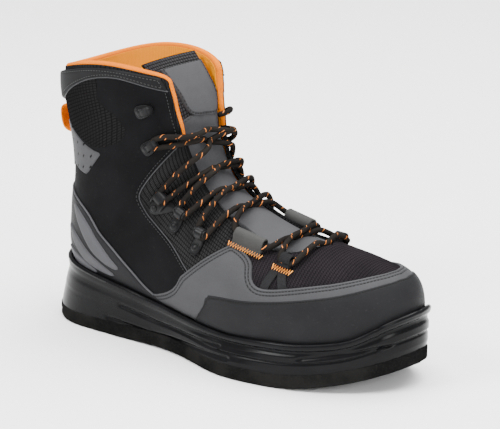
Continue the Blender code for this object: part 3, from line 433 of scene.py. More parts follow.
def nearest(points, line):
    """Distance from each point to a polyline, and the place along it, both in millimetres."""
    start, run = line[:-1], np.diff(line, axis=0)
    length = np.linalg.norm(run, axis=1)
    before = np.concatenate([[0], np.cumsum(length)])[:-1]
    best = np.full(len(points), 1e9)
    place = np.zeros(len(points))
    for block in np.array_split(np.arange(len(start)), max(1, len(start) // 64)):
        a, r = start[block], run[block]
        share = np.einsum("nmk,mk->nm", points[:, None] - a[None], r) / np.maximum(length[block] ** 2, 1e-9)
        share = np.clip(share, 0, 1)
        away = np.linalg.norm(points[:, None] - a[None] - share[..., None] * r[None], axis=-1)
        pick = away.argmin(1)
        rows = np.arange(len(points))
        closer = away[rows, pick] < best
        best = np.where(closer, away[rows, pick], best)
        found = before[block][pick] + share[rows, pick] * length[block][pick]
        place = np.where(closer, found, place)
    return best, place


def fold(places, front):
    """Plane in which a patch is triangulated. Over the toe the plane is squared as a complex
    number, which lays the two sides of the toe's tip against each other."""
    flat = places[:, 0] * ROW_SPACING + 1j * places[:, 1] * GIRTH_LENGTH
    flat = flat ** 2 / 100 if front else flat
    return np.stack([flat.real, flat.imag], -1)


def unfold(flat, front):
    """Places (row, girth) from millimetres; a front patch is laid out by the square of its places."""
    value = flat[:, 0] + 1j * flat[:, 1]
    value = np.sqrt(value * 100) if front else value
    return np.stack([value.real / ROW_SPACING, value.imag / GIRTH_LENGTH], -1)


def patch(outline, spacing, rings, front):
    """Places and triangles of a patch of the form: its outline, rings at distances inside it and an
    even grid. Lengths are in the (row, girth) plane's millimetres."""
    scaled = outline * (ROW_SPACING, GIRTH_LENGTH)
    tangent = unit(np.roll(scaled, -1, axis=0) - np.roll(scaled, 1, axis=0))
    turn = np.sum(scaled[:, 0] * np.roll(scaled[:, 1], -1) - np.roll(scaled[:, 0], -1) * scaled[:, 1])
    inward = np.stack([-tangent[:, 1], tangent[:, 0]], -1) * np.sign(turn)
    loop = scaled if front else np.vstack([scaled, scaled[:1]])
    inner = []
    for ring in rings:
        moved = scaled + inward * ring
        away = nearest(moved, loop)[0]
        inner.append(moved[away > ring * .93])
    low, high = scaled.min(0), scaled.max(0)
    steps = [np.arange(low[k], high[k] + spacing, spacing) for k in (0, 1)]
    nodes = np.stack(np.meshgrid(*steps, indexing="ij"), -1)
    nodes[1::2, :, 1] += spacing / 2
    nodes = nodes.reshape(-1, 2)
    nodes = nodes[nearest(nodes, loop)[0] > max(rings) + spacing * .4]
    if front:
        tip = np.arange(0, loop[-1, 1] - spacing, spacing)
        nodes = np.vstack([nodes[nodes[:, 0] > .3 * spacing], np.stack([0 * tip, tip], -1)])
    places = np.vstack([scaled] + inner + [nodes]) / (ROW_SPACING, GIRTH_LENGTH)
    if front:
        places = places[(places[:, 0] >= -1e-9)]
    flat = fold(places, front)
    made = delaunay_2d_cdt([Vector(p) for p in flat.tolist()], [], [list(range(len(outline)))], 1, 1e-5)
    found = unfold(np.array([tuple(p) for p in made[0]]), front)
    faces = np.array([f for f in made[2] if len(f) == 3])
    return found, faces


def add_panel(name, outline, surface, thick, stitched=None, spacing=2.6, edge=1.0, front=False, relief=None,
              **settings):
    """Sheet laid on the form inside an outline of (row, signed girth). Its height over the form
    rises from the outline to its thickness as a quarter circle as wide as edge. The Seam map holds
    the place along the stitched line and the distance from it. relief adds a height for each girth."""
    rings = [edge * share for share in (.08, .25, .55, 1.0)] + [edge + 1.2, edge + 3.0]
    places, faces = patch(outline, spacing, rings, front)
    row, girth = places[:, 0], places[:, 1]
    loop = outline if front else np.vstack([outline, outline[:1]])
    rim = shell(loop[:, 0], loop[:, 1], 0.0)
    ground = shell(row, girth, 0.0)
    away = nearest(ground, rim)[0]
    share = np.clip(away / edge, 0, 1)
    height = thick * np.sqrt(1 - (1 - share) ** 2)
    if relief is not None:
        height = height + relief(girth) * share
    normal = skin_normal(row, girth)
    line = outline if stitched is None else stitched
    distance, place = nearest(ground, shell(line[:, 0], line[:, 1], 0.0))
    seam = np.stack([place, distance], -1)
    points, groups = closed_between(ground + normal * height[:, None], ground - normal * PANEL_SUNK, faces)
    uv = np.stack([row * ROW_SPACING, girth * GIRTH_LENGTH], -1)
    return add_piece(name, points, groups, surface, np.vstack([uv, uv]), np.vstack([seam, seam]), **settings)


def frames_along(path):
    """Unit tangents and two normals of a path, the normals carried on from point to point."""
    tangent = unit(np.gradient(path, axis=0))
    first = np.zeros_like(path)
    seed = np.array([0.0, 0.0, 1.0]) if abs(tangent[0, 2]) < .9 else np.array([1.0, 0.0, 0.0])
    last = unit(seed - tangent[0] * (seed @ tangent[0]))
    for k, t in enumerate(tangent):
        last = unit(last - t * (last @ t))
        first[k] = last
    return tangent, first, np.cross(tangent, first)


def catmull(points, steps):
    """Smooth curve through points: on each pair a uniform Catmull-Rom cubic of it and its neighbours."""
    p = np.array(points, float)
    p = np.vstack([2 * p[0] - p[1], p, 2 * p[-1] - p[-2]])
    t = np.linspace(0, 1, steps, endpoint=False)[:, None]
    parts = []
    for a, b, c, d in zip(p, p[1:], p[2:], p[3:]):
        parts.append(.5 * (2 * b + (c - a) * t + (2 * a - 5 * b + 4 * c - d) * t ** 2
                           + (3 * b - a - 3 * c + d) * t ** 3))
    return np.vstack(parts + [p[-2:-1]])


def tube(path, radius, sides):
    """Grid of a tube: a circle of the radius carried along the path, with closed rounded ends."""
    tangent, first, second = frames_along(path)
    radius = np.broadcast_to(radius, len(path)).astype(float)
    cap = np.array([0.0, .55, .85, 1.0])
    push = np.array([1.0, .83, .5, 0.0])
    angle = np.linspace(0, 2 * math.pi, sides + 1)
    places = [(0, radius[0] * c, -radius[0] * q) for c, q in zip(cap, push)]
    places += [(k, radius[k], 0) for k in range(1, len(path) - 1)]
    places += [(-1, radius[-1] * c, radius[-1] * q) for c, q in zip(cap[::-1], push[::-1])]
    rings = []
    for k, r, out in places:
        ring = np.cos(angle)[:, None] * first[k] + np.sin(angle)[:, None] * second[k]
        rings.append(path[k] + tangent[k] * out + r * ring)
    return np.stack(rings)


def add_tube(name, path, radius, surface, sides=10, **settings):
    """Piece from a tube along a path."""
    return add_grid(name, tube(np.asarray(path, float), radius, sides), surface, **settings)


def joined(grids):
    """Points, faces and maps of several closed grids, to be one piece."""
    points, faces, maps, start = [], [], [], 0
    for grid in grids:
        points.append(grid.reshape(-1, 3))
        faces.append(grid_faces(*grid.shape[:2]) + start)
        maps.append(grid_uv(grid))
        start += grid.shape[0] * grid.shape[1]
    return np.vstack(points), faces, np.vstack(maps)


def band(path, across, width, thick):
    """Grid of a tape: a flat rounded section carried along a path; across is the tape's width
    direction at each point and its ends are closed."""
    tangent = unit(np.gradient(path, axis=0))
    side = unit(across - tangent * np.sum(across * tangent, -1, keepdims=True))
    out = np.cross(side, tangent)
    w, h = width / 2, thick / 2
    c = min(TAPE_CORNER, h)
    section = [(-w + c, -h), (0, -h), (w - c, -h), (w, -h + c), (w, h - c), (w - c, h), (0, h), (-w + c, h),
               (-w, h - c), (-w, -h + c), (-w + c, -h)]
    section = np.array(section)
    ring = path[:, None] + section[None, :, :1] * side[:, None] + section[None, :, 1:] * out[:, None]
    ends = [np.repeat(ring[k].mean(0)[None, None], len(section), 1) for k in (0, -1)]
    return np.concatenate([ends[0], ring, ends[1]])


# Node groups and materials

class Graph:
    """Adds nodes to a tree and joins them: a value given for a socket is a number or a socket."""

    def __init__(self, tree):
        self.tree = tree

    def add(self, kind, inputs=(), **settings):
        node = self.tree.nodes.new(kind)
        for label, value in settings.items():
            setattr(node, label, value)
        for key, value in dict(inputs).items():
            self.put(node.inputs[key], value)
        return node

    def put(self, socket, value):
        if isinstance(value, bpy.types.NodeSocket):
            self.tree.links.new(value, socket)
        else:
            socket.default_value = value

    def math(self, operation, *values):
        return self.add("ShaderNodeMath", enumerate(values), operation=operation).outputs[0]

    def rest(self, value):
        """What is missing to 1."""
        return self.math("SUBTRACT", 1.0, value)

    def ripple(self, angle):
        """Absolute sine."""
        return self.math("ABSOLUTE", self.math("SINE", angle))

    def fade(self, value, low, high):
        """0 below low, 1 over high, with a soft step between."""
        node = self.add("ShaderNodeMapRange", {"Value": value, "From Min": low, "From Max": high},
                        interpolation_type="SMOOTHSTEP")
        return node.outputs[0]

    def mix(self, share, first, second):
        node = self.add("ShaderNodeMix", {0: share, 6: first, 7: second}, data_type="RGBA")
        return node.outputs[2]

    def noise(self, vector, scale, detail=2.0):
        node = self.add("ShaderNodeTexNoise", {"Vector": vector, "Scale": scale, "Detail": detail})
        return node.outputs["Fac"]

    def uv(self, label):
        """The two values of a UV map."""
        map_node = self.add("ShaderNodeUVMap", uv_map=label)
        split = self.add("ShaderNodeSeparateXYZ", {0: map_node.outputs[0]})
        return split.outputs[0], split.outputs[1]

    def millimetres(self):
        """Place in the object's own frame, in millimetres."""
        place = self.add("ShaderNodeTexCoord").outputs["Object"]
        return self.add("ShaderNodeVectorMath", {0: place, "Scale": 1000.0}, operation="SCALE").outputs[0]


def new_group(name, inputs, outputs):
    """Empty node group with float inputs and outputs; returns it, its graph, inputs and output node."""
    tree = bpy.data.node_groups.new(name, "ShaderNodeTree")
    for label, value in inputs.items():
        tree.interface.new_socket(label, in_out="INPUT", socket_type="NodeSocketFloat").default_value = value
    for label in outputs:
        tree.interface.new_socket(label, in_out="OUTPUT", socket_type="NodeSocketFloat")
    graph = Graph(tree)
    return tree, graph, graph.add("NodeGroupInput").outputs, graph.add("NodeGroupOutput")


def mesh_weave_group():
    tree, g, given, out = new_group("boot_mesh_weave",
                                    {"Along": 0, "Across": 0, "Pitch": 2.4}, ("Height", "Gap"))
    u = g.math("DIVIDE", given["Along"], given["Pitch"])
    v = g.math("DIVIDE", given["Across"], given["Pitch"])
    wave_u = g.ripple(g.math("MULTIPLY", u, math.pi))
    wave_v = g.ripple(g.math("MULTIPLY", v, math.pi))
    parity = g.math("FLOORED_MODULO", g.math("ADD", g.math("FLOOR", u), g.math("FLOOR", v)), 2.0)
    first = g.math("MULTIPLY", parity, wave_u)
    second = g.math("MULTIPLY", g.rest(parity), wave_v)
    body = g.math("ADD", first, second)
    low = g.math("MINIMUM", wave_u, wave_v)
    height = g.math("MULTIPLY", body, g.fade(low, 0.0, .45))
    g.put(out.inputs["Height"], height)
    # Gap marks the low places between the threads, where finish paints shade
    g.put(out.inputs["Gap"], g.rest(g.fade(low, .12, .42)))
    return tree


def rib_weave_group():
    """Knitted ribs: a sine across the ribs, shifted to and fro by a triangle wave along them."""
    tree, g, given, out = new_group("boot_rib_weave",
                                    {"Along": 0, "Across": 0, "Pitch": 2.0}, ("Height", "Gap"))
    u = g.math("DIVIDE", given["Along"], given["Pitch"])
    v = g.math("DIVIDE", given["Across"], given["Pitch"])
    zigzag = g.math("PINGPONG", g.math("MULTIPLY", v, 1.3), .5)
    rib = g.ripple(g.math("MULTIPLY", g.math("ADD", u, zigzag), math.pi))
    cross = g.ripple(g.math("MULTIPLY", v, math.pi * .65))
    height = g.math("MULTIPLY", rib, g.math("ADD", .55, g.math("MULTIPLY", cross, .45)))
    g.put(out.inputs["Height"], height)
    # Gap marks the low places between the ribs, where finish paints shade
    g.put(out.inputs["Gap"], g.rest(g.fade(height, .10, .45)))
    return tree


def stitch_group():
    """Row of stitches: a dash pattern along a line at a set distance from the seam."""
    tree, g, given, out = new_group("boot_stitch_row",
                                    {"Along": 0, "Away": 0, "Line": 2.2, "Pitch": 2.6, "Width": .7},
                                    ("Mask", "Groove"))
    off = g.math("ABSOLUTE", g.math("SUBTRACT", given["Away"], given["Line"]))
    half = g.math("MULTIPLY", given["Width"], .5)
    near = g.rest(g.fade(g.math("DIVIDE", off, half), .6, 1.1))
    step = g.math("FRACT", g.math("DIVIDE", given["Along"], given["Pitch"]))
    dash = g.fade(g.math("ABSOLUTE", g.math("SUBTRACT", step, .5)), .34, .26)
    g.put(out.inputs["Mask"], g.math("MULTIPLY", near, dash))
    # Groove: band around the line, sunk in the bump and darkened in finish as painted shade
    g.put(out.inputs["Groove"], g.rest(g.fade(g.math("DIVIDE", off, half), 1.0, 2.2)))
    return tree


def braid_group():
    """Round braid: two sets of crossing diagonal strands, and a mask of coloured flecks."""
    tree, g, given, out = new_group("boot_braid",
                                    {"Along": 0, "Around": 0, "Pitch": 1.5}, ("Height", "Fleck"))
    u = g.math("DIVIDE", given["Along"], given["Pitch"])
    v = g.math("DIVIDE", given["Around"], given["Pitch"])
    one = g.ripple(g.math("MULTIPLY", g.math("ADD", u, v), math.pi))
    two = g.ripple(g.math("MULTIPLY", g.math("SUBTRACT", u, v), math.pi))
    g.put(out.inputs["Height"], g.math("MAXIMUM", one, two))
    spiral = g.math("FRACT", g.math("ADD", g.math("MULTIPLY", u, .21), g.math("MULTIPLY", v, .2)))
    stretch = g.math("FRACT", g.math("MULTIPLY", u, .13))
    strand = g.fade(g.math("ABSOLUTE", g.math("SUBTRACT", spiral, .5)), .075, .045)
    part = g.fade(g.math("ABSOLUTE", g.math("SUBTRACT", stretch, .5)), .22, .16)
    broken = g.fade(one, .25, .5)
    g.put(out.inputs["Fleck"], g.math("MULTIPLY", g.math("MULTIPLY", strand, part), broken))
    return tree


def hole_group():
    """Dots on a staggered lattice: 1 inside a hole."""
    tree, g, given, out = new_group("boot_holes",
                                    {"Along": 0, "Across": 0, "Pitch": 7.0, "Radius": .9}, ("Mask",))
    v = g.math("DIVIDE", given["Across"], given["Pitch"])
    shift = g.math("MULTIPLY", g.math("FLOORED_MODULO", g.math("FLOOR", v), 2.0), .5)
    u = g.math("ADD", g.math("DIVIDE", given["Along"], given["Pitch"]), shift)
    du = g.math("SUBTRACT", g.math("FRACT", u), .5)
    dv = g.math("SUBTRACT", g.math("FRACT", v), .5)
    away = g.math("SQRT", g.math("ADD", g.math("MULTIPLY", du, du), g.math("MULTIPLY", dv, dv)))
    away = g.math("MULTIPLY", away, given["Pitch"])
    g.put(out.inputs["Mask"], g.rest(g.fade(g.math("DIVIDE", away, given["Radius"]), .8, 1.15)))
    return tree


GROUP_MAKERS = {"mesh": mesh_weave_group, "rib": rib_weave_group, "stitch": stitch_group,
                "braid": braid_group, "holes": hole_group}
GROUPS = {}


def group_node(graph, kind, inputs):
    """Outputs of an effect's group, which is made when it is first asked for."""
    if kind not in GROUPS:
        GROUPS[kind] = GROUP_MAKERS[kind]()
    node = graph.add("ShaderNodeGroup", node_tree=GROUPS[kind])
    for label, value in inputs.items():
        graph.put(node.inputs[label], value)
    return node.outputs


def shade(colour, share):
    """Colour times a share."""
    return tuple(c * share for c in colour)


def cloth(**look):
    """Settings of a dull cloth, which has no highlight."""
    return dict(specular=0.0, **look)


def finish(name, colour, tone, roughness, spread=.08, grain=(1.2, .15), weave=None, gap=None, stitches=(),
           thread=(.01, .01, .01), holes=None, fleck=None, fuzz=None, dust=.0, specular=.05):
    """Material with two tones mixed by slow noise, fine grain, and what its cloth or rubber has.
    grain is (waves a millimetre, height in millimetres), weave is (group, pitch, height), a row of
    stitches is (distance from the edge, pitch, width), holes is (pitch, radius) and fleck is
    (colour, pitch, height)."""
    made = bpy.data.materials.new(name)
    made.use_nodes = True
    g = Graph(made.node_tree)
    shader = made.node_tree.nodes["Principled BSDF"]
    place = g.millimetres()
    u, v = g.uv("UVMap")
    slow = g.noise(place, .035, 3.0)
    base = g.mix(g.fade(slow, .35, .65), (*colour, 1), (*tone, 1))
    fine = g.noise(place, grain[0], 3.0)
    pale = [min(1, c * 1.7 + .004) for c in colour]
    base = g.mix(g.math("MULTIPLY", g.fade(fine, .3, .75), .22), base, (*pale, 1))
    height = g.math("MULTIPLY", fine, grain[1])
    rough = g.math("ADD", roughness - spread / 2, g.math("MULTIPLY", g.noise(place, .22, 2.0), spread))
    if weave:
        kind, pitch, depth = weave
        cloth = group_node(g, kind, {"Along": u, "Across": v, "Pitch": pitch})
        height = g.math("ADD", height, g.math("MULTIPLY", cloth["Height"], depth))
        # Painted shade between the threads: where the weave is low, the colour is darkened
        base = g.mix(cloth["Gap"], base, (*(gap or (.004, .004, .004)), 1))
    if fleck:
        braid = group_node(g, "braid", {"Along": u, "Around": v, "Pitch": fleck[1]})
        height = g.math("ADD", height, g.math("MULTIPLY", braid["Height"], fleck[2]))
        base = g.mix(braid["Fleck"], base, (*fleck[0], 1))
    if holes:
        dots = group_node(g, "holes", {"Along": u, "Across": v, "Pitch": holes[0], "Radius": holes[1]})
        height = g.math("SUBTRACT", height, g.math("MULTIPLY", dots["Mask"], .8))
        base = g.mix(dots["Mask"], base, (.004, .004, .004, 1))
    if fuzz:
        fibre = g.noise(place, fuzz, 5.0)
        height = g.math("ADD", height, g.math("MULTIPLY", fibre, .9))
        base = g.mix(g.fade(fibre, .45, .75), base, (*tone, 1))
    if stitches:
        along_seam, away = g.uv("Seam")
        for line, pitch, width in stitches:
            row = group_node(g, "stitch", {"Along": along_seam, "Away": away, "Line": line, "Pitch": pitch,
                                           "Width": width})
            height = g.math("SUBTRACT", height, g.math("MULTIPLY", row["Groove"], .28))
            height = g.math("ADD", height, g.math("MULTIPLY", row["Mask"], .45))
            # Painted shade: the stitch's groove is darkened toward three tenths of the panel's colour
            base = g.mix(g.math("MULTIPLY", row["Groove"], .35), base, (*shade(colour, .3), 1))
            base = g.mix(row["Mask"], base, (*thread, 1))
    if dust:
        speck = g.fade(g.noise(place, .6, 6.0), .60, .72)
        base = g.mix(g.math("MULTIPLY", speck, dust), base, (.30, .29, .27, 1))
        rough = g.math("ADD", rough, g.math("MULTIPLY", speck, .12))
    bump = g.add("ShaderNodeBump", {"Strength": 1.0, "Distance": .001, "Height": height})
    g.put(shader.inputs["Base Color"], base)
    g.put(shader.inputs["Roughness"], rough)
    g.put(shader.inputs["Normal"], bump.outputs[0])
    shader.inputs["Specular IOR Level"].default_value = specular
    return made


MATERIALS = {}


def surface(name):
    """The boot's materials, each made once, when the first piece asks for it."""
    if name in MATERIALS:
        return MATERIALS[name]
    colours = bpy.context.scene.boot_colours
    grey, dark, black = tuple(colours.panel_grey), tuple(colours.rubber_grey), tuple(colours.panel_black)
    orange, glow = tuple(colours.orange), tuple(colours.lining)
    recipes = {
        # The gap colours are painted shade between the weave's threads
        "vamp_mesh": cloth(colour=(.0112, .0098, .0110), tone=(.0142, .0122, .0138), roughness=.62,
                           weave=("rib", 2.1, .55), gap=(.006, .005, .006)),
        "quarter_mesh": cloth(colour=(.019, .0187, .019), tone=(.014, .0137, .014), roughness=.6,
                              weave=("mesh", 1.9, .5), gap=(.0035, .0035, .0035)),
        "window_mesh": cloth(colour=(.0098, .0096, .0098), tone=(.008, .0078, .008), roughness=.6,
                             weave=("mesh", 2.2, .4), gap=(.0035, .0035, .0035)),
        "lining_cloth": cloth(colour=glow, tone=shade(glow, .93), roughness=.78, grain=(1.6, .1),
                              weave=("mesh", .9, .12), gap=shade(glow, .7)),
        "binding": cloth(colour=orange, tone=shade(orange, .9), roughness=.62, grain=(1.4, .1),
                         weave=("mesh", 1.0, .14), gap=shade(orange, .75)),
        "panel_black": dict(specular=.02, colour=black, tone=shade(black, 1.4), roughness=.6,
                            grain=(2.2, .10), stitches=((2.4, 2.6, .7),), thread=(.035, .035, .036),
                            dust=.015),
        "overlay_grey": dict(colour=grey, tone=shade(grey, .88), roughness=.48, grain=(1.8, .10),
                             stitches=((2.3, 2.4, .75), (4.7, 2.4, .75)), thread=(.012, .012, .012),
                             dust=.015),
        "patch_grey": dict(colour=grey, tone=shade(grey, .88), roughness=.5, grain=(1.8, .10),
                           stitches=((2.1, 3.0, .7),), thread=(.014, .014, .014), dust=.015),
        "ankle_grey": dict(colour=grey, tone=shade(grey, .9), roughness=.5, grain=(1.8, .1),
                           holes=(7.2, .85), dust=.015),
        "cuff_grey": dict(specular=.03, colour=(.0105, .0105, .0112), tone=(.008, .008, .0085),
                          roughness=.5, grain=(2.0, .08), stitches=((2.0, 2.8, .6),),
                          thread=(.05, .05, .05)),
        "rand_rubber": dict(colour=dark, tone=shade(dark, .82), roughness=.52, grain=(2.6, .16),
                            stitches=((2.1, 2.2, .6),), thread=(.012, .012, .012), dust=.02),
        "counter_rubber": dict(colour=shade(dark, .95), tone=shade(dark, .8), roughness=.5,
                               grain=(2.2, .10), dust=.02),
        "fin_rubber": dict(colour=(.052, .052, .056), tone=(.044, .044, .047), roughness=.5,
                           grain=(2.2, .08), dust=.02),
        "sole_rubber": dict(colour=(.0028, .0028, .0032), tone=(.0042, .0042, .0047), roughness=.24,
                            spread=.08, grain=(1.1, .03), specular=.07),
        "felt": cloth(colour=(.0050, .0050, .0050), tone=(.014, .0135, .013), roughness=.97,
                      grain=(3.0, .5), fuzz=1.1),
        "tongue_cloth": cloth(colour=(.030, .029, .030), tone=(.022, .021, .022), roughness=.65,
                              weave=("mesh", 2.6, .6), gap=(.003, .003, .003)),
        "tongue_grey": dict(colour=grey, tone=shade(grey, .9), roughness=.55, grain=(1.8, .12),
                            stitches=((1.8, 2.6, .6),), thread=(.05, .05, .05), dust=.015),
        "webbing_dark": cloth(colour=(.020, .020, .021), tone=(.015, .015, .016), roughness=.6,
                              weave=("rib", 1.0, .3), gap=(.010, .010, .010)),
        "webbing_grey": dict(colour=(.036, .036, .035), tone=(.029, .029, .028), roughness=.5,
                             grain=(1.8, .12), stitches=((1.6, 2.0, .5),), thread=(.02, .02, .02)),
        "webbing_orange": cloth(colour=orange, tone=shade(orange, .88), roughness=.6,
                                weave=("rib", 1.1, .3), gap=shade(orange, .6)),
        "hardware": dict(colour=(.0035, .0035, .004), tone=(.006, .006, .0065), roughness=.36, spread=.1,
                         grain=(1.0, .02), specular=.12),
        "lace": cloth(colour=(.010, .009, .0085), tone=(.015, .0135, .012), roughness=.66,
                      grain=(3.0, .15), fleck=((.60, .19, .045), 1.5, .35)),
        "thread_orange": dict(colour=(.88, .36, .07), tone=(.80, .28, .05), roughness=.55, grain=(4.0, .1)),
        # Lighter than the panels: on the quarter seam this grey is a painted highlight along the seam
        "piping_grey_and_highlight": dict(colour=(.040, .040, .042), tone=(.032, .032, .034), roughness=.45,
                            grain=(2.5, .06)),
        "insole_cloth": cloth(colour=(.24, .10, .03), tone=(.20, .08, .025), roughness=.85,
                              grain=(1.2, .25)),
    }
    MATERIALS[name] = finish(name, **recipes[name])
    return MATERIALS[name]


# Pieces

RAND_TOP = ((2.15, 0), (2.4, .16), (3.65, .31), (5.2, .37), (7.15, .44), (8.35, .475), (8.8, .503),
            (9.15, .68))
FOREFOOT_TOP = ((2.8, 0), (2.95, .10), (3.85, .233), (5.35, .312), (6.6, .37), (7.1, .35), (7.3, .262),
                (8.25, .245), (8.45, .273), (9.6, .44), (10.6, .625))
QUARTER_EDGE = ((14.3, .215), (13.9, .37), (13.5, .41), (10.85, .405), (9.5, .46))
COUNTER_TOP = ((10.7, .645), (12.05, .535), (14.75, .538), (16.65, .75), (17.1, 1.0))
ANKLE_PATCH = ((17.05, .53), (18.95, .80), (18.7, 1.0), (17.6, 1.0), (17.3, .735), (16.6, .61))
CUFF_EDGE = ((19.3, .245), (20.0, .39), (20.3, .49), (19.9, .69), (19.7, .76), (19.4, 1.0))
CUFF_TOP_ROW = 20.8
WINDOW_TOP = ((20.2, .52), (20.15, .60), (19.95, .74), (19.6, 1.0))
WINDOW_FRONT = ((19.2, .535), (18.4, .487), (17.35, .435), (17.05, .46))
WINDOW_LOW = ((17.05, .46), (17.35, .56), (18.35, .71), (18.85, .84), (18.8, 1.0))
FINS = (((12.15, .60), (13.9, .578), (15.0, .625), (15.9, .70)),
        ((12.2, .652), (13.85, .648), (14.8, .70), (15.4, .765)),
        ((12.9, .700), (13.7, .705), (14.3, .745), (14.8, .80)))
BACK = 1.0
LIP_REACH = 2.7
TUCK = .035
SPLIT_ROW = 8.3
BINDING_ROW = 14.4
SIDES = ((-1, "lateral"), (1, "medial"))


def size(name):
    """A size of the panel in the sidebar, in millimetres."""
    return getattr(bpy.context.scene.boot_sizes, name) / MM


def signed(points, side):
    """Places (row, girth) on one side."""
    return np.array(points, float) * (1, side)


def both_sides(points):
    """Line over the front: the lateral half from its far end to the ridge, then the medial half."""
    line = np.array(points, float)
    lateral = line[::-1] * (1, -1)
    return np.vstack([lateral[:-1] if line[0, 1] == 0 else lateral, line])


def round_the_back(points):
    """Line around the back: the medial half, then its mirror with girths over 1."""
    line = np.array(points, float)
    mirror = np.stack([line[:, 0], 2 - line[:, 1]], -1)[::-1]
    return np.vstack([line, mirror[1:] if line[-1, 1] == BACK else mirror])


def lip_run(rows, side):
    """Places along the midsole's lip, tucked a little below it."""
    rows = np.asarray(rows, float)
    return np.stack([rows, side * np.minimum(lip_line(rows, LIP_REACH)[side] + TUCK, 1.0)], -1)


def loop_of(*parts, spacing=2.4):
    """Closed outline of several lines, at even distances."""
    line = np.vstack(parts)
    return evenly(np.vstack([line, line[:1]]), spacing)[:-1]


def build_fabric():
    """Mesh bootee in two pieces that meet under the overlay, and its padded lining."""
    def layer(name, rows, outer, inner, material, columns=140, **settings):
        share = np.linspace(0, 1, columns)
        edge = throat(rows)[:, None]
        girth = edge + (2 - 2 * edge) * share
        row = np.repeat(rows[:, None], columns, 1)
        uv = np.stack([row * ROW_SPACING, np.abs((girth + 1) % 2 - 1) * GIRTH_LENGTH], -1)
        return add_slab(name, shell(row, girth, outer(row)), shell(row, girth, inner(row)), surface(material),
                        uv=uv, **settings)

    front = np.linspace(0, SPLIT_ROW, 60)
    rear = np.linspace(SPLIT_ROW, LAST_ROW, 96)
    inside = np.concatenate([np.linspace(.8, SPLIT_ROW, 34), np.linspace(SPLIT_ROW + .25, LAST_ROW, 52)])
    layer("upper_vamp", front, lambda r: 0 * r, lambda r: 0 * r - 1.0, "vamp_mesh", replaces=("upper",),
          slot="mesh_black")
    layer("upper_quarter", rear, lambda r: 0 * r, lambda r: 0 * r - 1.0, "quarter_mesh", slot="mesh_black")
    lining = layer("upper_lining", inside, lambda r: 0 * r - 1.15, lambda r: -wall(r), "lining_cloth",
                   columns=100, slot="foam_orange")


def collar_line(start):
    """Path along the throat's edge from a row up, round the corner, and along the collar's rim."""
    rise = np.linspace(start, LAST_ROW, 70)
    edge = throat(rise)
    rim = np.linspace(edge[-1], 1, 90)[1:]
    half = np.vstack([np.stack([rise, edge], -1), np.stack([0 * rim + LAST_ROW, rim], -1)])
    return round_the_back(half)


def build_binding():
    """Rolled orange edge of the lining, and the dark binding below it along the throat."""
    line = collar_line(BINDING_ROW)
    depth = wall(line[:, 0]) / 2
    path = shell(line[:, 0], line[:, 1], -depth)
    roll = add_tube("collar_roll", path, depth * .86, surface("binding"), sides=14, slot="foam_orange")
    low = np.linspace(5.62, BINDING_ROW + .05, 90)
    for side, label in SIDES:
        path = shell(low, side * throat(low), -wall(low) / 2)
        add_tube(f"throat_binding_{label}", path, wall(low) / 2 + .1, surface("panel_black"), sides=10,
                 slot="synthetic_black")


def build_front_panels():
    """Toe rand and the grey forefoot overlay, both across the front."""
    rows = np.linspace(9.15, 0, 50)
    top = both_sides(rounded(RAND_TOP, 2))
    line = evenly(np.vstack([lip_run(rows[::-1], -1), top, lip_run(rows, 1)]), 2.4)
    add_panel("rand", line, surface("rand_rubber"), size("rand_thick"), stitched=evenly(top, 2.4), edge=1.8,
              front=True, replaces=("toe_rand",), slot="rubber_dark_grey")
    hidden = np.array(RAND_TOP)[::-1] + (-.25, .03)
    hidden[-1, 1] = 0
    rear = np.linspace(10.9, 9.4, 5)
    top = both_sides(np.vstack([rounded(FOREFOOT_TOP, 2), [(10.9, .66)]]))
    low = both_sides(np.vstack([hidden[::-1], [(9.4, .70)], lip_run(rear[::-1], 1)]))[::-1]
    add_panel("overlay", loop_of(top, low), surface("overlay_grey"), size("panel_thick") * 1.4,
              stitched=evenly(top, 2.4), replaces=("forefoot_overlay",), slot="synthetic_grey")


def build_shaft():
    """Black shaft panel around the back, the piping of its quarter seam and its mesh window."""
    thick = size("panel_thick")
    heel = heel_row(LIP_REACH)
    seam = rounded(QUARTER_EDGE, 3)
    rows = np.linspace(9.5, heel, 40)
    throat_rows = np.linspace(14.35, 19.4, 20)
    front = np.stack([throat_rows, throat(throat_rows) + .012], -1)[::-1]
    upper_line = np.array(CUFF_EDGE) + (.15, 0)
    medial = np.vstack([upper_line[::-1], front, seam, lip_run(rows, 1), [(heel, 1.0)]])
    line = loop_of(round_the_back(medial))
    edges = evenly(round_the_back(np.vstack([front, seam])), 2.4)
    add_panel("shaft", line, surface("panel_black"), thick, stitched=edges, replaces=("shaft_panel",),
              slot="synthetic_black")
    for side, label in SIDES:
        run = evenly(signed(seam, side), 2.0)
        path = shell(run[:, 0], run[:, 1], thick * .75)
        # The piping's lighter grey is partly a painted highlight: it stands in for the seam's thin highlight
        add_tube(f"quarter_piping_{label}", path, .42, surface("piping_grey_and_highlight"), sides=6,
                 slot="synthetic_dark_grey")
    top = round_the_back(np.vstack([np.array(WINDOW_FRONT)[::-1], WINDOW_TOP]))
    add_panel("rear_window", loop_of(top, round_the_back(rounded(WINDOW_LOW, 2))[::-1], spacing=2.0),
              surface("window_mesh"), thick + .2, edge=.5, slot="mesh_black")


def build_ankle_patch():
    """Perforated patch around the back of the ankle."""
    top = np.array(ANKLE_PATCH[:3])
    low = np.array(ANKLE_PATCH[5:2:-1])
    medial_first = round_the_back(top)
    back_again = round_the_back(low)[::-1]
    add_panel("patch", loop_of(medial_first, back_again, spacing=2.0), surface("ankle_grey"),
              size("panel_thick") + .7, replaces=("ankle_patch",), slot="rubber_mid_grey")


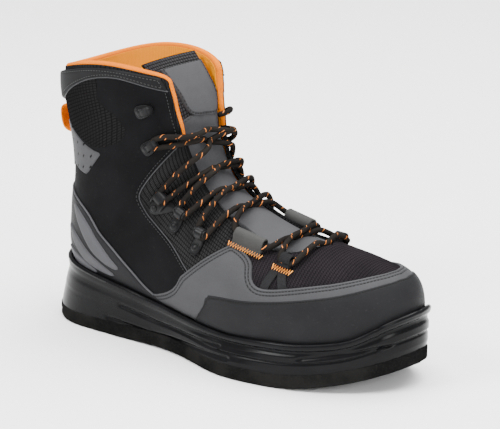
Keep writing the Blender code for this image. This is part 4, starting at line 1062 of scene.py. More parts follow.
def build_cuff():
    """Band below the rolled collar, thicker at the back, with a light line along its lower edge."""
    edge = rounded(CUFF_EDGE, 2)
    top = np.array([(CUFF_TOP_ROW, .27), (CUFF_TOP_ROW, 1.0)])
    line = loop_of(round_the_back(edge), round_the_back(top)[::-1])

    def cushion(girth):
        """Swelling of the cuff around the back."""
        away = np.abs((girth + 1) % 2 - 1)
        return 1.8 * smooth((away - .58) / .25)

    cuff = add_panel("cuff", line, surface("cuff_grey"), size("panel_thick") + .8, edge=1.6, relief=cushion,
                     replaces=("collar_cuff",), slot="synthetic_dark_grey")
    run = evenly(round_the_back(edge), 2.0)
    path = shell(run[:, 0], run[:, 1], size("panel_thick") + .1)
    add_tube("cuff_piping", path, .5, surface("piping_grey_and_highlight"), sides=6, slot="synthetic_dark_grey")


def build_heel():
    """Moulded counter with its raised rim line and three fins on each side."""
    heel = heel_row(LIP_REACH)
    top = rounded(COUNTER_TOP, 3)
    rows = np.linspace(10.2, heel, 40)
    line = loop_of(round_the_back(top), round_the_back(np.vstack([[(10.3, .70)], lip_run(rows, 1)]))[::-1])
    thick = size("counter_thick")
    add_panel("counter", line, surface("counter_rubber"), thick, edge=2.4, replaces=("heel_counter",),
              slot="rubber_grey")
    run = evenly(round_the_back(top), 2.0)
    path = shell(run[:, 0], run[:, 1], thick * .72)
    add_tube("counter_rim", path, .75, surface("fin_rubber"), sides=8, slot="rubber_mid_grey")
    for side, label in SIDES:
        for number, fin in enumerate(FINS, 1):
            middle = evenly(signed(rounded(fin, 2), side), 3.0) * (ROW_SPACING, GIRTH_LENGTH)
            tangent = unit(np.gradient(middle, axis=0))
            normal = np.stack([-tangent[:, 1], tangent[:, 0]], -1)
            share = np.linspace(0, 1, len(middle))
            half = (size("fin_width") / 2 * np.sin(math.pi * (.06 + .9 * share ** .8)) ** .6)[:, None]
            line = np.vstack([middle + normal * half, (middle - normal * half)[::-1]])
            line = loop_of(line / (ROW_SPACING, GIRTH_LENGTH), spacing=1.6)
            add_panel(f"fin_{number}_{label}", line, surface("fin_rubber"), thick + 1.0, edge=1.5,
                      spacing=2.0, replaces=(f"counter_fin_{number}_{label}",), slot="rubber_mid_grey")


# Shares of the way down the midsole's side, of the way out to the sole's outline, and bulge
SIDE = ((0, 0, .4), (.05, .01, .5), (.12, .02, -.2), (.19, .05, -1.9), (.27, .12, -1.6), (.36, .21, -.2),
        (.54, .46, .3), (.59, .53, -1.0), (.66, .60, 0), (.85, .82, .5), (1, 1, 0))
# Section of the lip's bead: distances outwards and upwards from the lip's line
LIP_BEAD = ((-.9, -6.0), (-.3, -1.8), (0, -.3), (.5, .7), (1.3, 1.4), (2.4, 1.5), (3.5, .9), (4.0, -.1),
            (4.0, -1.1))
# Grooves of the midsole's side as (along the boot, height over the ground)
SIDE_GROOVES = (((-74.8, 25.6), (-36.2, 20.9), (10.1, 20.0), (30, 21)),
                ((-88.4, 13.2), (-45.7, 10.2), (4.7, 13.0), (40, 14.5)),
                ((98.6, 24.4), (122.6, 29.7), (149.5, 36.1)))
# Felt's side: share of the way up, and distance inside the outline
FELT_SIDE = ((1, 1.0), (.97, .35), (.85, 0), (.68, 0), (.5, 0), (.33, 0), (.15, 0), (.04, .3), (0, 1.0))
FELT_OVERHANG = .8
# Share to which the felt's outline is shrunk for the midsole, and distances in the midsole's inner
# side: under the footbed, behind the lip, and down from the lip at least
FELT_SHRINK = 1 - 2 * FELT_OVERHANG / LENGTH
BED_GAP = .4
LIP_BACK = 1.6
LIP_DEPTH = 7
GROOVE_HALF_WIDTH = 1.5
GROOVE_DEPTH = 1.5


def resampled(line, count):
    """Line with a number of points at even distances."""
    length = np.concatenate([[0], np.cumsum(np.linalg.norm(np.diff(line, axis=0), axis=1))])
    places = np.linspace(0, length[-1], count)
    return np.stack([np.interp(places, length, line[:, k]) for k in range(line.shape[1])], -1)


def perimeter(count):
    """For each side, heel to toe: the lip's line with its outward direction, and the sole's outline."""
    rows = np.linspace(heel_row(LIP_REACH), 0, 500)
    girths = lip_line(rows, LIP_REACH)
    x = -LENGTH / 2 * np.cos(math.pi * np.linspace(0, 1, 500))
    found = {}
    for side, _ in SIDES:
        line = shell(rows, side * girths[side], LIP_REACH)
        outward = unit(skin_normal(rows, side * girths[side]) * (1, 1, 0))
        both = resampled(np.hstack([line, outward * 1e-3]), count)
        foot = resampled(np.stack([x, sole_edge(x, side)], -1), count)
        found[side] = (both[:, :3], unit(both[:, 3:]), foot)
    return found


def ring_grid(levels_of_side):
    """Closed grid, levels by stations, from each side's stations by levels. The two sides share
    their first and last stations."""
    lateral, medial = levels_of_side
    for end in (0, -1):
        lateral[end] = medial[end] = (lateral[end] + medial[end]) / 2
    return np.concatenate([lateral, medial[::-1][1:]]).swapaxes(0, 1)


def midsole_levels(lip, outward, foot, centre):
    """Levels of one side of the midsole, from the footbed's middle over the lip down to the felt."""
    bed = footbed(lip[:, 0]) - BED_GAP
    levels = [np.column_stack([centre, footbed(centre[:, 0]) - BED_GAP])]
    wall_foot = lip[:, :2] - outward[:, :2] * LIP_BACK
    levels.append(np.column_stack([wall_foot, np.minimum(bed, lip[:, 2] - LIP_DEPTH)]))
    for out, up in LIP_BEAD:
        levels.append(lip + outward * out + (0, 0, up))
    rim = lip[:, :2] + outward[:, :2] * size("lip_width")
    top = lip[:, 2] - .6
    shrunk = foot * FELT_SHRINK
    bottom = sole_lift(shrunk[:, 0]) + FELT_THICK
    table = np.array(SIDE)
    front = smooth((lip[:, 0] + 10) / 50)
    for down in np.linspace(0, 1, 42)[1:]:
        flare = along(table[:, :2], down, .02)
        strength = np.where(down < .45, .35 + .65 * front, front * .8 + .2)
        bulge = along(table[:, (0, 2)], down, .012) * strength
        place = (1 - flare) * rim + flare * shrunk + outward[:, :2] * bulge[..., None]
        height = (1 - down) * top + down * bottom
        cut = np.zeros(len(height))
        for groove in SIDE_GROOVES:
            away = nearest(np.stack([place[:, 0], height], -1), np.array(groove, float))[0]
            cut = np.maximum(cut, np.exp(-(away / GROOVE_HALF_WIDTH) ** 2))
        levels.append(np.column_stack([place - outward[:, :2] * (GROOVE_DEPTH * cut)[:, None], height]))
    levels.append(np.column_stack([centre * FELT_SHRINK, bottom]))
    return np.stack(levels, 1)


def build_midsole():
    """Midsole with its lip bead and side grooves."""
    around = perimeter(210)
    centre = (around[-1][2] + around[1][2]) / 2
    grid = ring_grid([midsole_levels(*around[side], centre) for side, _ in SIDES])
    add_grid("midsole_cup", grid, surface("sole_rubber"), replaces=("midsole",), slot="rubber_black",
             sharp=60)


def build_felt():
    """Felt slab with a rough edge: random fuzz at each point and a slower wave along the edge."""
    rough = np.random.default_rng(11)
    around = perimeter(330)
    centre = (around[-1][2] + around[1][2]) / 2
    sides = []
    for side, _ in SIDES:
        foot = around[side][2]
        low = sole_lift(foot[:, 0])
        wave = np.convolve(rough.uniform(-1, 1, len(foot) + 8), np.full(9, .35), "valid")
        levels = [np.column_stack([centre, sole_lift(centre[:, 0]) + FELT_THICK - .1])]
        for up, inset in FELT_SIDE:
            place = foot * (1 - 2 * inset / LENGTH)
            level = np.column_stack([place, low + up * (FELT_THICK - .1)])
            if 0 < up < 1:
                fuzz = rough.uniform(-.5, .4, (len(place), 1)) + .5 * wave[:, None] * (1 - up)
                fuzz[(0, -1), :] = 0
                level = level + np.hstack([unit(place - centre * (1, 1)) * fuzz, 0 * fuzz])
            levels.append(level)
        levels.append(np.column_stack([centre, sole_lift(centre[:, 0])]))
        sides.append(np.stack(levels, 1))
    add_grid("felt_slab", ring_grid(sides), surface("felt"), replaces=("outsole_felt",), slot="felt_black",
             sharp=60)


def finish_insole():
    """The insole is the carried-over solid, with a material."""
    insole = bpy.data.objects["insole"]
    insole.data.materials.clear()
    insole.data.materials.append(surface("insole_cloth"))


TONGUE_SINK = ((5.1, .3), (7, .4), (8, .8), (9, 1.6), (10, 4), (11, 7.5), (12, 9), (13, 9), (15, 7.5),
               (17, 7), (18, 8), (19, 11))
TONGUE_OVERLAP = .055
TONGUE_TOP_LENGTH = 23.0
# Flat top: places along the boot and heights of its middle line, half widths (lateral, medial) at its
# end, what they lose a row below it, bow, direction of its front and the rows in which it takes over
TONGUE_TOP_X = ((14, -27), (16, -31.5), (18, -39), (20, -50), (22, -62), (23, -68))
TONGUE_TOP_Z = ((14, 162), (16, 177), (18, 190), (20, 202), (22, 213.5), (23, 219))
TONGUE_TOP_HALVES = (31.0, 29.0)
TONGUE_TOP_BOW = 2.5
TONGUE_FACING = np.array([.78, 0, .62])
TONGUE_TOP_NARROWING = 1.1
TONGUE_TOP_START = 14.5
TONGUE_TOP_BLEND = 3.5
TONGUE_START = 5.1
TONGUE_END = 22.0
TONGUE_LEAST_EDGE = .085
# Width and depth of the pad's rounded edge, and of a sheet's
PAD_EDGE = (2.2, 2.0)
SHEET_EDGE = 1.2
PATCH_ROWS = (15.0, 20.9)


def curved_tongue(t, share, height):
    """Tongue under the throat's edges at shares -1 and 1, sunk in the middle by the sink times the
    squared cosine of the share."""
    row = np.minimum(t, LAST_ROW)
    girth = share * (np.maximum(throat_edge(row), TONGUE_LEAST_EDGE) + TONGUE_OVERLAP)
    depth = wall(row) + TONGUE_GAP + along(TONGUE_SINK, row, .5) * np.cos(math.pi / 2 * share) ** 2
    return skin(row, girth) - skin_normal(row, girth) * (depth - height)[..., None]


def tongue_face(t, share, height=0.0):
    """Tongue's front: the curved tongue, which turns into a flat sheet across the boot toward its
    top. t counts rows, past the collar's up to the tongue's end."""
    t, share = np.broadcast_arrays(np.asarray(t, float), np.asarray(share, float))
    height = np.broadcast_to(height, t.shape)
    half = np.where(share < 0, *TONGUE_TOP_HALVES) - TONGUE_TOP_NARROWING * (TONGUE_END - t)
    line = np.stack([along(TONGUE_TOP_X, t, .6), half * share - .5, along(TONGUE_TOP_Z, t, .6)], -1)
    line[..., 0] += TONGUE_TOP_BOW * share ** 2
    flat = smooth((t - TONGUE_TOP_START) / TONGUE_TOP_BLEND)[..., None]
    curved = curved_tongue(t, share, height)
    return (1 - flat) * curved + flat * (line + height[..., None] * TONGUE_FACING)


def add_tongue_sheet(name, t, half, shift, material, low, high, **settings):
    """Stitched sheet on the tongue between heights low and high; half and shift give its half width
    and middle as shares of the tongue's, for each t."""
    share = np.linspace(-1, 1, 41)
    place = shift + half[:, None] * share[None, :]
    rows = np.repeat(t[:, None], len(share), 1)
    end = np.minimum(t - t[0], t[-1] - t)
    soft = np.minimum(end[:, None] * ROW_SPACING, (1 - np.abs(share))[None, :] * 22) / SHEET_EDGE
    rise = low + (high - low) * np.sqrt(1 - (1 - np.clip(soft, 0, 1)) ** 2)
    front = tongue_face(rows, place, rise)
    back = tongue_face(rows, place, 0 * rise + low - .3)
    rim = np.vstack([front[:, 0], front[-1], front[::-1, -1], front[0, ::-1]])
    away, run = nearest(front.reshape(-1, 3), rim[::2])
    seam = np.stack([run, away], -1).reshape(*front.shape[:2], 2)
    return add_slab(name, front, back, surface(material), seam=seam, **settings)


def build_tongue():
    """Padded mesh tongue with a smooth grey panel and a stitched patch with a rounded lower end."""
    t = np.concatenate([np.linspace(TONGUE_START, LAST_ROW, 90), LAST_ROW + np.linspace(0, 1, 14)[1:]])
    share = np.linspace(-1, 1, 45)
    rows = np.repeat(t[:, None], len(share), 1)
    edge = np.minimum((TONGUE_END - t) * TONGUE_TOP_LENGTH, (t - TONGUE_START) * ROW_SPACING)
    soft = np.minimum(edge[:, None], (1 - np.abs(share))[None, :] * 20) / PAD_EDGE[0]
    round_off = PAD_EDGE[1] * (1 - np.sqrt(1 - (1 - np.clip(soft, 0, 1)) ** 2))
    front = tongue_face(rows, share[None, :], -round_off)
    back = tongue_face(rows, share[None, :], round_off - TONGUE_THICK)
    tongue = add_slab("tongue_pad", front, back, surface("tongue_cloth"), replaces=("tongue",),
                      slot="textile_grey")
    lower = np.linspace(5.6, 15.8, 70)
    half = .68 + .14 * smooth((lower - 8) / 4)
    add_tongue_sheet("tongue_panel", lower, half, 0, "tongue_grey", 0, 1.3, slot="textile_grey")
    first, last = PATCH_ROWS
    upper = first + (last - first) * np.linspace(0, 1, 110) ** 1.6
    rising = np.clip((upper - first) / 2.2, 0, 1)
    half = .78 * np.sqrt(1 - (1 - rising) ** 2) * .999 + .001
    add_tongue_sheet("tongue_patch", upper, half, .15, "patch_grey", 0.6, 2.3,
                               slot="synthetic_grey")


LOW_LOOP = (6.15, .215)
TUNNEL = (7.75, .20)
TUNNEL_LENGTH = 27.0
GUIDES = ((9.6, .30), (10.95, .308))
LOCK_HOOK = (12.35, .335)
SPEED_HOOKS = ((15.65, .32), (18.1, .345))
# Row, girth and length along the boot of what holds the lace, from the toe up
HOLDERS = ((*LOW_LOOP, 8.0), (*TUNNEL, TUNNEL_LENGTH), (*GUIDES[0], 7.0), (*GUIDES[1], 7.0),
           (*LOCK_HOOK, 9.0), (*SPEED_HOOKS[0], 7.0))
# Rows by which each crossing of the loose lace sags below the middle between its holders
LACE_SAGS = (0, .1, .3, .4, 1.2)
# Radius of the eyes that hold the lace, and the lace's height in them
EYE = 2.9
LACE_IN_EYE = EYE + .95
# Rise of the lace over the other strand where they cross, and rounds of smoothing of its line
LACE_CROSSING = 2.5
LACE_SMOOTHING = 14
# Profiles of the fittings' ribs (toward the throat, height) and of the guides' washer (radius, height)
GUIDE_RIB = ((-2.6, 3.4), (-.9, 6.6), (1.9, 6.9), (3.6, 4.4))
LOCK_HOOK_RIB = ((-9, 2.0), (-5, 3.4), (0, 3.8), (3.6, 3.0))
GUIDE_WASHER = ((0, .9), (3.9, .9), (3.9, 1.5), (3.3, 1.9), (0, 1.9))
# Lower places of the two tapes below the lowest loop, as (row, girth)
STRAPS = (((6.55, .372), (6.45, .30), (6.3, .225)), ((5.85, .345), (6.1, .28), (6.2, .225)))
STRAP_SINK = 1.4
LACE_NODES = {"lateral": ("lace_bar_low", "lace_cross_1", "lace_cross_3", "lace_cross_5"),
              "medial": ("lace_cross_2", "lace_cross_4", "lace_bar_top")}


def seat(row, girth, side, height):
    """Function from local (toward the throat, along the boot to its toe, off the surface) to a place."""
    origin = shell(row, side * girth, height)
    off = skin_normal(row, side * girth)
    inward = shell(row, side * (girth - .02), height) - origin
    inward = unit(inward - off * (inward @ off))
    toward_toe = np.cross(off, inward) * side * -1

    def place(points):
        """Points from (toward the throat, toward the toe, height)."""
        points = np.asarray(points, float)
        return origin + points[..., :1] * inward + points[..., 1:2] * toward_toe + points[..., 2:] * off
    return place


def plate(outline, low, high, bevel):
    """Grid of a flat plate with a bevelled top: rings of the outline, closed in its middle."""
    line = np.vstack([outline, outline[:1]])
    middle = line[:-1].mean(0)
    reach = np.abs(line - middle).max()
    rings = []
    for shrink, z in ((1, low), (0, low), (0, high - bevel), (.3, high - .3 * bevel), (1, high)):
        share = 0 if shrink == 1 and z == low else 1 - shrink * bevel / reach
        rings.append(np.column_stack([middle + (line - middle) * share, np.full(len(line), z)]))
    rings.append(np.column_stack([np.repeat(middle[None], len(line), 0), np.full(len(line), high)]))
    return np.stack(rings)


def lathe(profile, centre):
    """Grid turned around the surface's normal from (radius, height) pairs."""
    angle = np.linspace(0, 2 * math.pi, LATHE_SIDES + 1)
    return np.stack([np.column_stack([centre[0] + r * np.cos(angle), centre[1] + r * np.sin(angle),
                                      np.full(len(angle), z)]) for r, z in profile])


def dome(radius, height, centre=(0, 0), base=0.0):
    """Grid of a rivet's head, a quarter of an ellipse turned around."""
    steps = np.linspace(0, math.pi / 2, 8)
    rim = [(radius * math.cos(a), base + height * math.sin(a)) for a in steps]
    return lathe([(0, base - .3), (radius, base - .3)] + rim, centre)


def profile_band(points, width, thick, shift=0.0):
    """Band whose path lies in the plane across the boot, given as (toward the throat, height)."""
    line = catmull(points, 6)
    path = np.column_stack([line[:, 0], np.full(len(line), shift), line[:, 1]])
    return band(path, np.tile((0.0, 1.0, 0.0), (len(path), 1)), width, thick)


def ring_points(radius, start, end, centre, steps):
    """Points of an arc between two angles in degrees."""
    angles = np.radians(np.linspace(start, end, steps))
    return [(centre[0] + radius * math.cos(a), centre[1] + radius * math.sin(a)) for a in angles]


def add_fitting(name, place, grids, material, **settings):
    """Piece from grids in a fitting's own frame."""
    points, faces, maps = joined([place(grid) for grid in grids])
    return add_piece(name, points, faces, surface(material), maps, **settings)


def build_guides(side, label):
    """Glossy guides: a riveted tail and an eye around the lace."""
    for number, (row, girth) in enumerate(GUIDES, 1):
        place = seat(row, girth, side, .2)
        middle = (0, EYE + .75)
        eye = ring_points(EYE + .75, -95, 205, middle, 9)
        tail = [(-13.5, .7), (-8, .7), (-3, .75)]
        outline = rounded([(-17, -3.4), (-9, -4.6), (-2.5, -3.2), (-2.5, 3.2), (-9, 4.6), (-17, 3.4)], 3,
                          True)
        grids = [plate(outline, -.4, 1.2, .5), profile_band(tail + eye, 6.6, 1.5),
                 dome(3.1, 2.0, (-11.2, 0), 1.2), lathe(GUIDE_WASHER, (-11.2, 0)),
                 *[profile_band(GUIDE_RIB, 1.4, 1.0, shift) for shift in (4.2, -4.2)]]
        add_fitting(f"guide_{number}_{label}", place, grids, "hardware",
                    replaces=(f"lace_guide_{number}_{label}",), slot="metal_black")


def hook_grids(width, reach, tail):
    """Hook: a bent tongue that rises toward the throat and comes back over the lace."""
    curl = [(-tail, .8), (-tail * .4, .8), (.5, .9), (3.4, 2.4), (4.3, reach * .62), (2.6, reach + 1.3),
            (-1.2, reach + 1.9), (-3.6, reach + 1.2)]
    return [profile_band(curl, width, 1.5), profile_band(curl[1:-1], width + 1.6, .8)]


def build_hooks(side, label):
    """Lock hook on its triangular plate, and two speed hooks with a rivet each."""
    place = seat(*LOCK_HOOK, side, .2)
    outline = rounded([(-16, -2.6), (-15.4, 2.8), (-1, 7.4), (3.5, 5.5), (3.8, -11.5), (.5, -14.5)], 3, True)
    grids = [plate(outline, -.5, 1.5, .7), *hook_grids(7.0, 5.6, 8), dome(2.6, 1.6, (-11.0, 0), 1.4),
             *[profile_band(LOCK_HOOK_RIB, 1.3, 1.3, shift) for shift in (5.4, -5.4)]]
    add_fitting(f"lock_hook_cast_{label}", place, grids, "hardware", replaces=(f"lock_hook_{label}",),
                slot="metal_black")
    for number, spot in enumerate(SPEED_HOOKS, 1):
        place = seat(*spot, side, size("panel_thick"))
        outline = rounded([(-11, -4.6), (-11, 4.6), (-5, 5.2), (3.4, 3.0), (3.4, -3.0), (-5, -5.2)], 3, True)
        grids = [plate(outline, -.6, 1.1, .5), *hook_grids(4.6, 5.2, 6), dome(3.3, 2.3, (-6.6, 0), 1.1)]
        add_fitting(f"speed_hook_{number}_cast_{label}", place, grids, "hardware",
                    replaces=(f"speed_hook_{number}_{label}",), slot="hook_black")


def zigzag(place, start, end, height, teeth, name, depth):
    """Zigzag thread between two local places."""
    start, end = np.array(start, float), np.array(end, float)
    run = unit(end - start)
    across = np.array([-run[1], run[0]])
    share = np.linspace(0, 1, teeth * 2 + 1)
    swing = np.where(np.arange(len(share)) % 2, 1, -1) * depth / 2
    flat = start + share[:, None] * (end - start) + swing[:, None] * across
    path = place(np.column_stack([flat, height(flat)]))
    add_tube(name, path, .42, surface("thread_orange"), sides=6, slot="webbing_orange")


def surface_band(places, side, width, thick, base):
    """Tape on the form through (row, girth) places, its lower end sunk under the overlay."""
    line = evenly(signed(rounded(places, 3), side), 1.5)
    share = np.linspace(0, 1, len(line))
    path = shell(line[:, 0], line[:, 1], base - STRAP_SINK * (1 - smooth(share * 5)))
    tangent = unit(np.gradient(path, axis=0))
    return band(path, np.cross(tangent, skin_normal(line[:, 0], line[:, 1])), width, thick)


def build_webbing(side, label):
    """Two tapes that run up from the rand to a loop, and the flat tunnel beside the throat."""
    low = [surface_band(places, side, 6.6, 1.4, .75) for places in STRAPS]
    place = seat(*LOW_LOOP, side, .4)
    eye = [(-6.5, 1.0), (-3, 1.2)] + ring_points(EYE + .8, -80, 190, (.6, EYE + 1.0), 9) + [(-5.6, 2.4)]
    loop = place(profile_band(eye, 8.5, 1.4))
    points, faces, maps = joined([*low, loop])
    add_piece(f"webbing_{label}", points, faces, surface("webbing_dark"), maps,
              replaces=(f"low_loop_{label}",), slot="webbing_dark")
    zigzag(place, (-7.6, -8.0), (-7.6, 8.0), lambda p: 1.9 + 0 * p[:, 0], 8, f"loop_thread_{label}", 4.4)
    place = seat(*TUNNEL, side, .1)
    middle = (0, EYE + .9)
    arch = [(-9.5, 1.1), (-6, 1.4)] + ring_points(EYE + 1.2, 150, -60, middle, 8) + [(-.6, .9), (-5.5, .8)]
    grids = [profile_band(arch, TUNNEL_LENGTH - 2.5, 1.5)]
    add_fitting(f"tunnel_{label}", place, grids, "webbing_grey", replaces=(f"tunnel_loop_{label}",),
                slot="webbing_grey")
    zigzag(place, (-9.0, -14.5), (-9.0, 14.0), lambda p: 1.75 + 0 * p[:, 0], 14, f"tunnel_thread_{label}",
           3.4)


def build_fittings():
    """Webbing, guides and hooks of both sides."""
    for side, label in SIDES:
        build_webbing(side, label)
        build_guides(side, label)
        build_hooks(side, label)


LOOP_ROW = 18.95
LOOP_TAPE = (13.0, 1.6)
# Pull loop from the side, as (up, off the boot)
LOOP_SIDE = ((-9.5, .2), (-4, 1.0), (2, 1.6), (7.5, 5.4), (10.0, 10.4), (7.6, 15.4), (0, 17.0), (-7, 15.8),
             (-10.6, 10.2), (-10.9, 3.4), (-11, .4))


def build_pull_loop():
    """Orange webbing folded to a loop behind the collar."""
    origin = shell(LOOP_ROW, BACK, 1.6)
    up = unit(shell(19.6, BACK, 0) - shell(18.4, BACK, 0))
    off = skin_normal(LOOP_ROW, BACK)
    flat = catmull(LOOP_SIDE, 6)
    path = origin + flat[:, :1] * up + flat[:, 1:] * off
    grid = band(path, np.tile((0.0, 1.0, 0.0), (len(path), 1)), *LOOP_TAPE)
    add_grid("heel_loop", grid, surface("webbing_orange"), replaces=("pull_loop",), slot="webbing_orange")


def lace_height(row, girth, drop):
    """Height of the lace's middle over the form: it lies on the tongue over the throat's middle and
    rises by a squared sine to the throat's edge."""
    edge = np.maximum(throat_edge(row), .1) * .8
    radius = size("lace_diameter") / 2
    sink = along(TONGUE_SINK, row, .5)
    low = radius + .9 - (wall(row) + TONGUE_GAP + sink)
    share = np.clip(np.abs(girth) / edge, 0, 1)
    return low + (drop - low) * np.sin(math.pi / 2 * share) ** 2


def strand(sign):
    """Places (row, girth) of one strand from the middle of the lowest bar to its last holder, how far
    it lifts there where it crosses the other strand, and the side that it comes out on."""
    places, lifts = [(HOLDERS[0][0] - .42, 0.0)], [0.0]
    side = sign
    for number, (row, girth, length) in enumerate(HOLDERS):
        beside = (length / 2 + 1.6) / ROW_SPACING
        hold = girth - .006
        places += [(row - beside, side * hold), (row, side * (girth + .004)), (row + beside, side * hold)]
        lifts += [0.0, 0.0, 0.0]
        if number + 1 < len(HOLDERS):
            after = HOLDERS[number + 1]
            middle = (row + beside + after[0] - (after[2] / 2 + 1.6) / ROW_SPACING) / 2
            over = sign if number % 2 else -sign
            places.append((middle - LACE_SAGS[number], 0.0))
            lifts.append(LACE_CROSSING * over)
            side = -side
    return places, lifts, side


def build_lace():
    """Two strands from the lowest bar through every holder. One goes over the throat's medial edge
    and ends beside the tongue, the other comes back over the tongue to the medial side."""
    radius = size("lace_diameter") / 2
    for sign, label in SIDES:
        places, lifts, side = strand(sign)
        if side > 0:
            places += [(16.1, .30), (16.15, .245), (15.95, .20), (15.5, .165), (15.2, .14)]
            lifts += [0, 0, .5, -2.5, -8.0]
        else:
            places += [(15.6, -.26), (14.5, -.16), (13.75, 0.0), (13.6, .15), (13.9, .24), (14.6, .31)]
            lifts += [0.5, 2.0, 3.0, 2.0, 1.5, 0.5]
        control = np.column_stack([np.array(places) * (ROW_SPACING, GIRTH_LENGTH), lifts])
        line = catmull(control, 10)
        for _ in range(LACE_SMOOTHING):
            line[1:-1] = .25 * line[:-2] + .5 * line[1:-1] + .25 * line[2:]
        row, girth = line[:, 0] / ROW_SPACING, line[:, 1] / GIRTH_LENGTH
        height = lace_height(row, girth, LACE_IN_EYE) + line[:, 2]
        path = skin(row, girth) + skin_normal(row, girth) * height[:, None]
        path = resampled(path, int(np.linalg.norm(np.diff(path, axis=0), axis=1).sum() / 1.6))
        add_tube(f"lace_strand_{label}", path, radius, surface("lace"), sides=14, replaces=LACE_NODES[label],
                 slot="lace_black")


# Name, place in metres, size in metres and power in watts of each area light
LIGHTS = (("key", (-.7, -1.4, 1.5), .8, 48), ("front", (1.6, -.8, .8), .6, 18),
          ("top", (.2, .4, 2.2), 2.6, 200))
WORLD_STRENGTH = .85
FLOOR_REACH = 6.0
CAMERA_AZIMUTH = 39.0
CAMERA_ELEVATION = 17.371
CAMERA_DISTANCE = 1.7
CAMERA_LENS = 164.94
CAMERA_SHIFT = (.033, .0177)


def build_stage():
    """Pale floor, soft lights and the camera at the photograph's angle."""
    floor_mesh = bpy.data.meshes.new("floor")
    reach = FLOOR_REACH
    corners = [(-reach, -reach, 0), (reach, -reach, 0), (reach, reach, 0), (-reach, reach, 0)]
    floor_mesh.from_pydata(corners, [], [(0, 1, 2, 3)])
    floor = bpy.data.objects.new("floor", floor_mesh)
    bpy.context.scene.collection.objects.link(floor)
    floor.location.z = -.0004
    material = bpy.data.materials.new("floor")
    material.use_nodes = True
    shader = material.node_tree.nodes["Principled BSDF"]
    shader.inputs["Base Color"].default_value = (.97, .97, .97, 1)
    shader.inputs["Roughness"].default_value = .9
    floor_mesh.materials.append(material)

    world = bpy.data.worlds.new("studio")
    world.use_nodes = True
    world.node_tree.nodes["Background"].inputs["Color"].default_value = (1, 1, 1, 1)
    world.node_tree.nodes["Background"].inputs["Strength"].default_value = WORLD_STRENGTH
    bpy.context.scene.world = world

    target = Vector((0, 0, .095))
    for name, place, width, power in LIGHTS:
        light = bpy.data.lights.new(name, "AREA")
        light.size = width
        light.energy = power
        lamp = bpy.data.objects.new(name, light)
        bpy.context.scene.collection.objects.link(lamp)
        lamp.location = place
        lamp.rotation_euler = (target - Vector(place)).to_track_quat("-Z", "Y").to_euler()

    azimuth, elevation = math.radians(CAMERA_AZIMUTH), math.radians(CAMERA_ELEVATION)
    back = Vector((math.sin(azimuth) * math.cos(elevation), -math.cos(azimuth) * math.cos(elevation),
                   math.sin(elevation)))
    lens = bpy.data.cameras.new("camera")
    lens.lens = CAMERA_LENS
    lens.shift_x = CAMERA_SHIFT[0]
    lens.shift_y = CAMERA_SHIFT[1]
    camera = bpy.data.objects.new("camera", lens)
    bpy.context.scene.collection.objects.link(camera)
    camera.location = target + back * CAMERA_DISTANCE
    camera.rotation_euler = back.to_track_quat("Z", "Y").to_euler()
    bpy.context.scene.camera = camera


def length(label, description, default):
    return bpy.props.FloatProperty(name=label, description=description, default=default, unit="LENGTH",
                                   min=0.0, precision=4)


def colour(label, description, default):
    return bpy.props.FloatVectorProperty(name=label, description=description, default=default,
                                         subtype="COLOR", size=3, min=0.0, max=1.0)


class BootSizes(bpy.types.PropertyGroup):
    """Sizes of the finish"""
    panel_thick: length("Panel", "Thickness of the coated panels", .0011)
    rand_thick: length("Rand", "Thickness of the toe rand", .0023)
    counter_thick: length("Counter", "Thickness of the heel counter", .0022)
    fin_width: length("Fin", "Width of the counter's fins", .0075)
    lip_width: length("Lip", "Width of the midsole's lip", .0034)
    lace_diameter: length("Lace", "Diameter of the lace", .0043)


class BootColours(bpy.types.PropertyGroup):
    """Colours of the finish"""
    panel_grey: colour("Panel grey", "Overlay, ankle patch and tongue", (.0405, .0405, .0430))
    rubber_grey: colour("Rubber grey", "Toe rand and heel counter", (.0112, .0112, .0121))
    panel_black: colour("Panel black", "Shaft panel", (.0036, .0036, .0040))
    orange: colour("Orange", "Rolled edge and webbing", (.66, .155, .0012))
    lining: colour("Lining", "Padded lining", (.86, .30, .002))


class BuildStep:
    """Base of the operators: runs the step's functions in order."""
    bl_options = {"REGISTER", "UNDO"}
    steps = ()

    def execute(self, context):
        for step in self.steps:
            step()
        return {"FINISHED"}


class BOOT_OT_upper(BuildStep, bpy.types.Operator):
    """Add the mesh upper, its lining and its rolled edge"""
    bl_idname = "boot.upper"
    bl_label = "Upper"
    steps = (build_fabric, build_binding)


class BOOT_OT_panels(BuildStep, bpy.types.Operator):
    """Add the toe rand, the overlays, the shaft panel, the ankle patch and the cuff"""
    bl_idname = "boot.panels"
    bl_label = "Panels"
    steps = (build_front_panels, build_shaft, build_ankle_patch, build_cuff)


class BOOT_OT_heel(BuildStep, bpy.types.Operator):
    """Add the heel counter with its fins and the pull loop"""
    bl_idname = "boot.heel"
    bl_label = "Heel"
    steps = (build_heel, build_pull_loop)


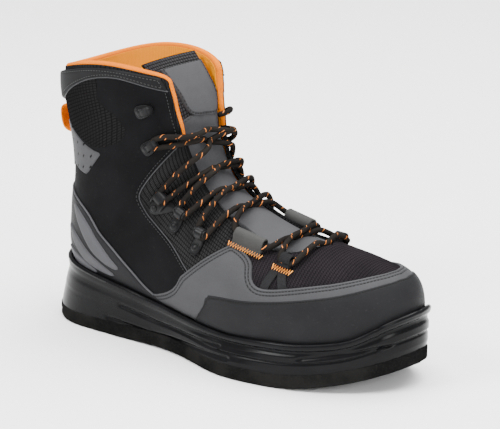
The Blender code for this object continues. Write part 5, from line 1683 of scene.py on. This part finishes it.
class BOOT_OT_sole(BuildStep, bpy.types.Operator):
    """Add the midsole and the felt, and give the insole its cloth"""
    bl_idname = "boot.sole"
    bl_label = "Sole"
    steps = (build_midsole, build_felt, finish_insole)


class BOOT_OT_tongue(BuildStep, bpy.types.Operator):
    """Add the tongue and its patches"""
    bl_idname = "boot.tongue"
    bl_label = "Tongue"
    steps = (build_tongue,)


class BOOT_OT_fittings(BuildStep, bpy.types.Operator):
    """Add the lace's loops, tunnels, guides and hooks on both sides"""
    bl_idname = "boot.fittings"
    bl_label = "Fittings"
    steps = (build_fittings,)


class BOOT_OT_lace(BuildStep, bpy.types.Operator):
    """Add the lace"""
    bl_idname = "boot.lace"
    bl_label = "Lace"
    steps = (build_lace,)


class BOOT_OT_stage(BuildStep, bpy.types.Operator):
    """Add the floor, the lights and the camera"""
    bl_idname = "boot.stage"
    bl_label = "Stage"
    steps = (build_stage,)


OPERATORS = (BOOT_OT_upper, BOOT_OT_panels, BOOT_OT_heel, BOOT_OT_sole, BOOT_OT_tongue, BOOT_OT_fittings,
             BOOT_OT_lace, BOOT_OT_stage)


class BOOT_PT_sidebar(bpy.types.Panel):
    """Sizes, colours and steps of the boot"""
    bl_label = "Wading boot"
    bl_space_type = "VIEW_3D"
    bl_region_type = "UI"
    bl_category = "Boot"

    def draw(self, context):
        for group in (context.scene.boot_sizes, context.scene.boot_colours):
            column = self.layout.column()
            for label in group.__annotations__:
                column.prop(group, label)
        for operator in OPERATORS:
            self.layout.operator(operator.bl_idname)


CLASSES = (BootSizes, BootColours, *OPERATORS, BOOT_PT_sidebar)


def register():
    for item in CLASSES:
        bpy.utils.register_class(item)
    bpy.types.Scene.boot_sizes = bpy.props.PointerProperty(type=BootSizes)
    bpy.types.Scene.boot_colours = bpy.props.PointerProperty(type=BootColours)


def unregister():
    del bpy.types.Scene.boot_colours
    del bpy.types.Scene.boot_sizes
    for item in reversed(CLASSES):
        bpy.utils.unregister_class(item)


def main():
    """Build the boot by its operators."""
    register()
    for step in ("upper", "panels", "heel", "sole", "tongue", "fittings", "lace", "stage"):
        getattr(bpy.ops.boot, step)()


if __name__ == "__main__":
    main()
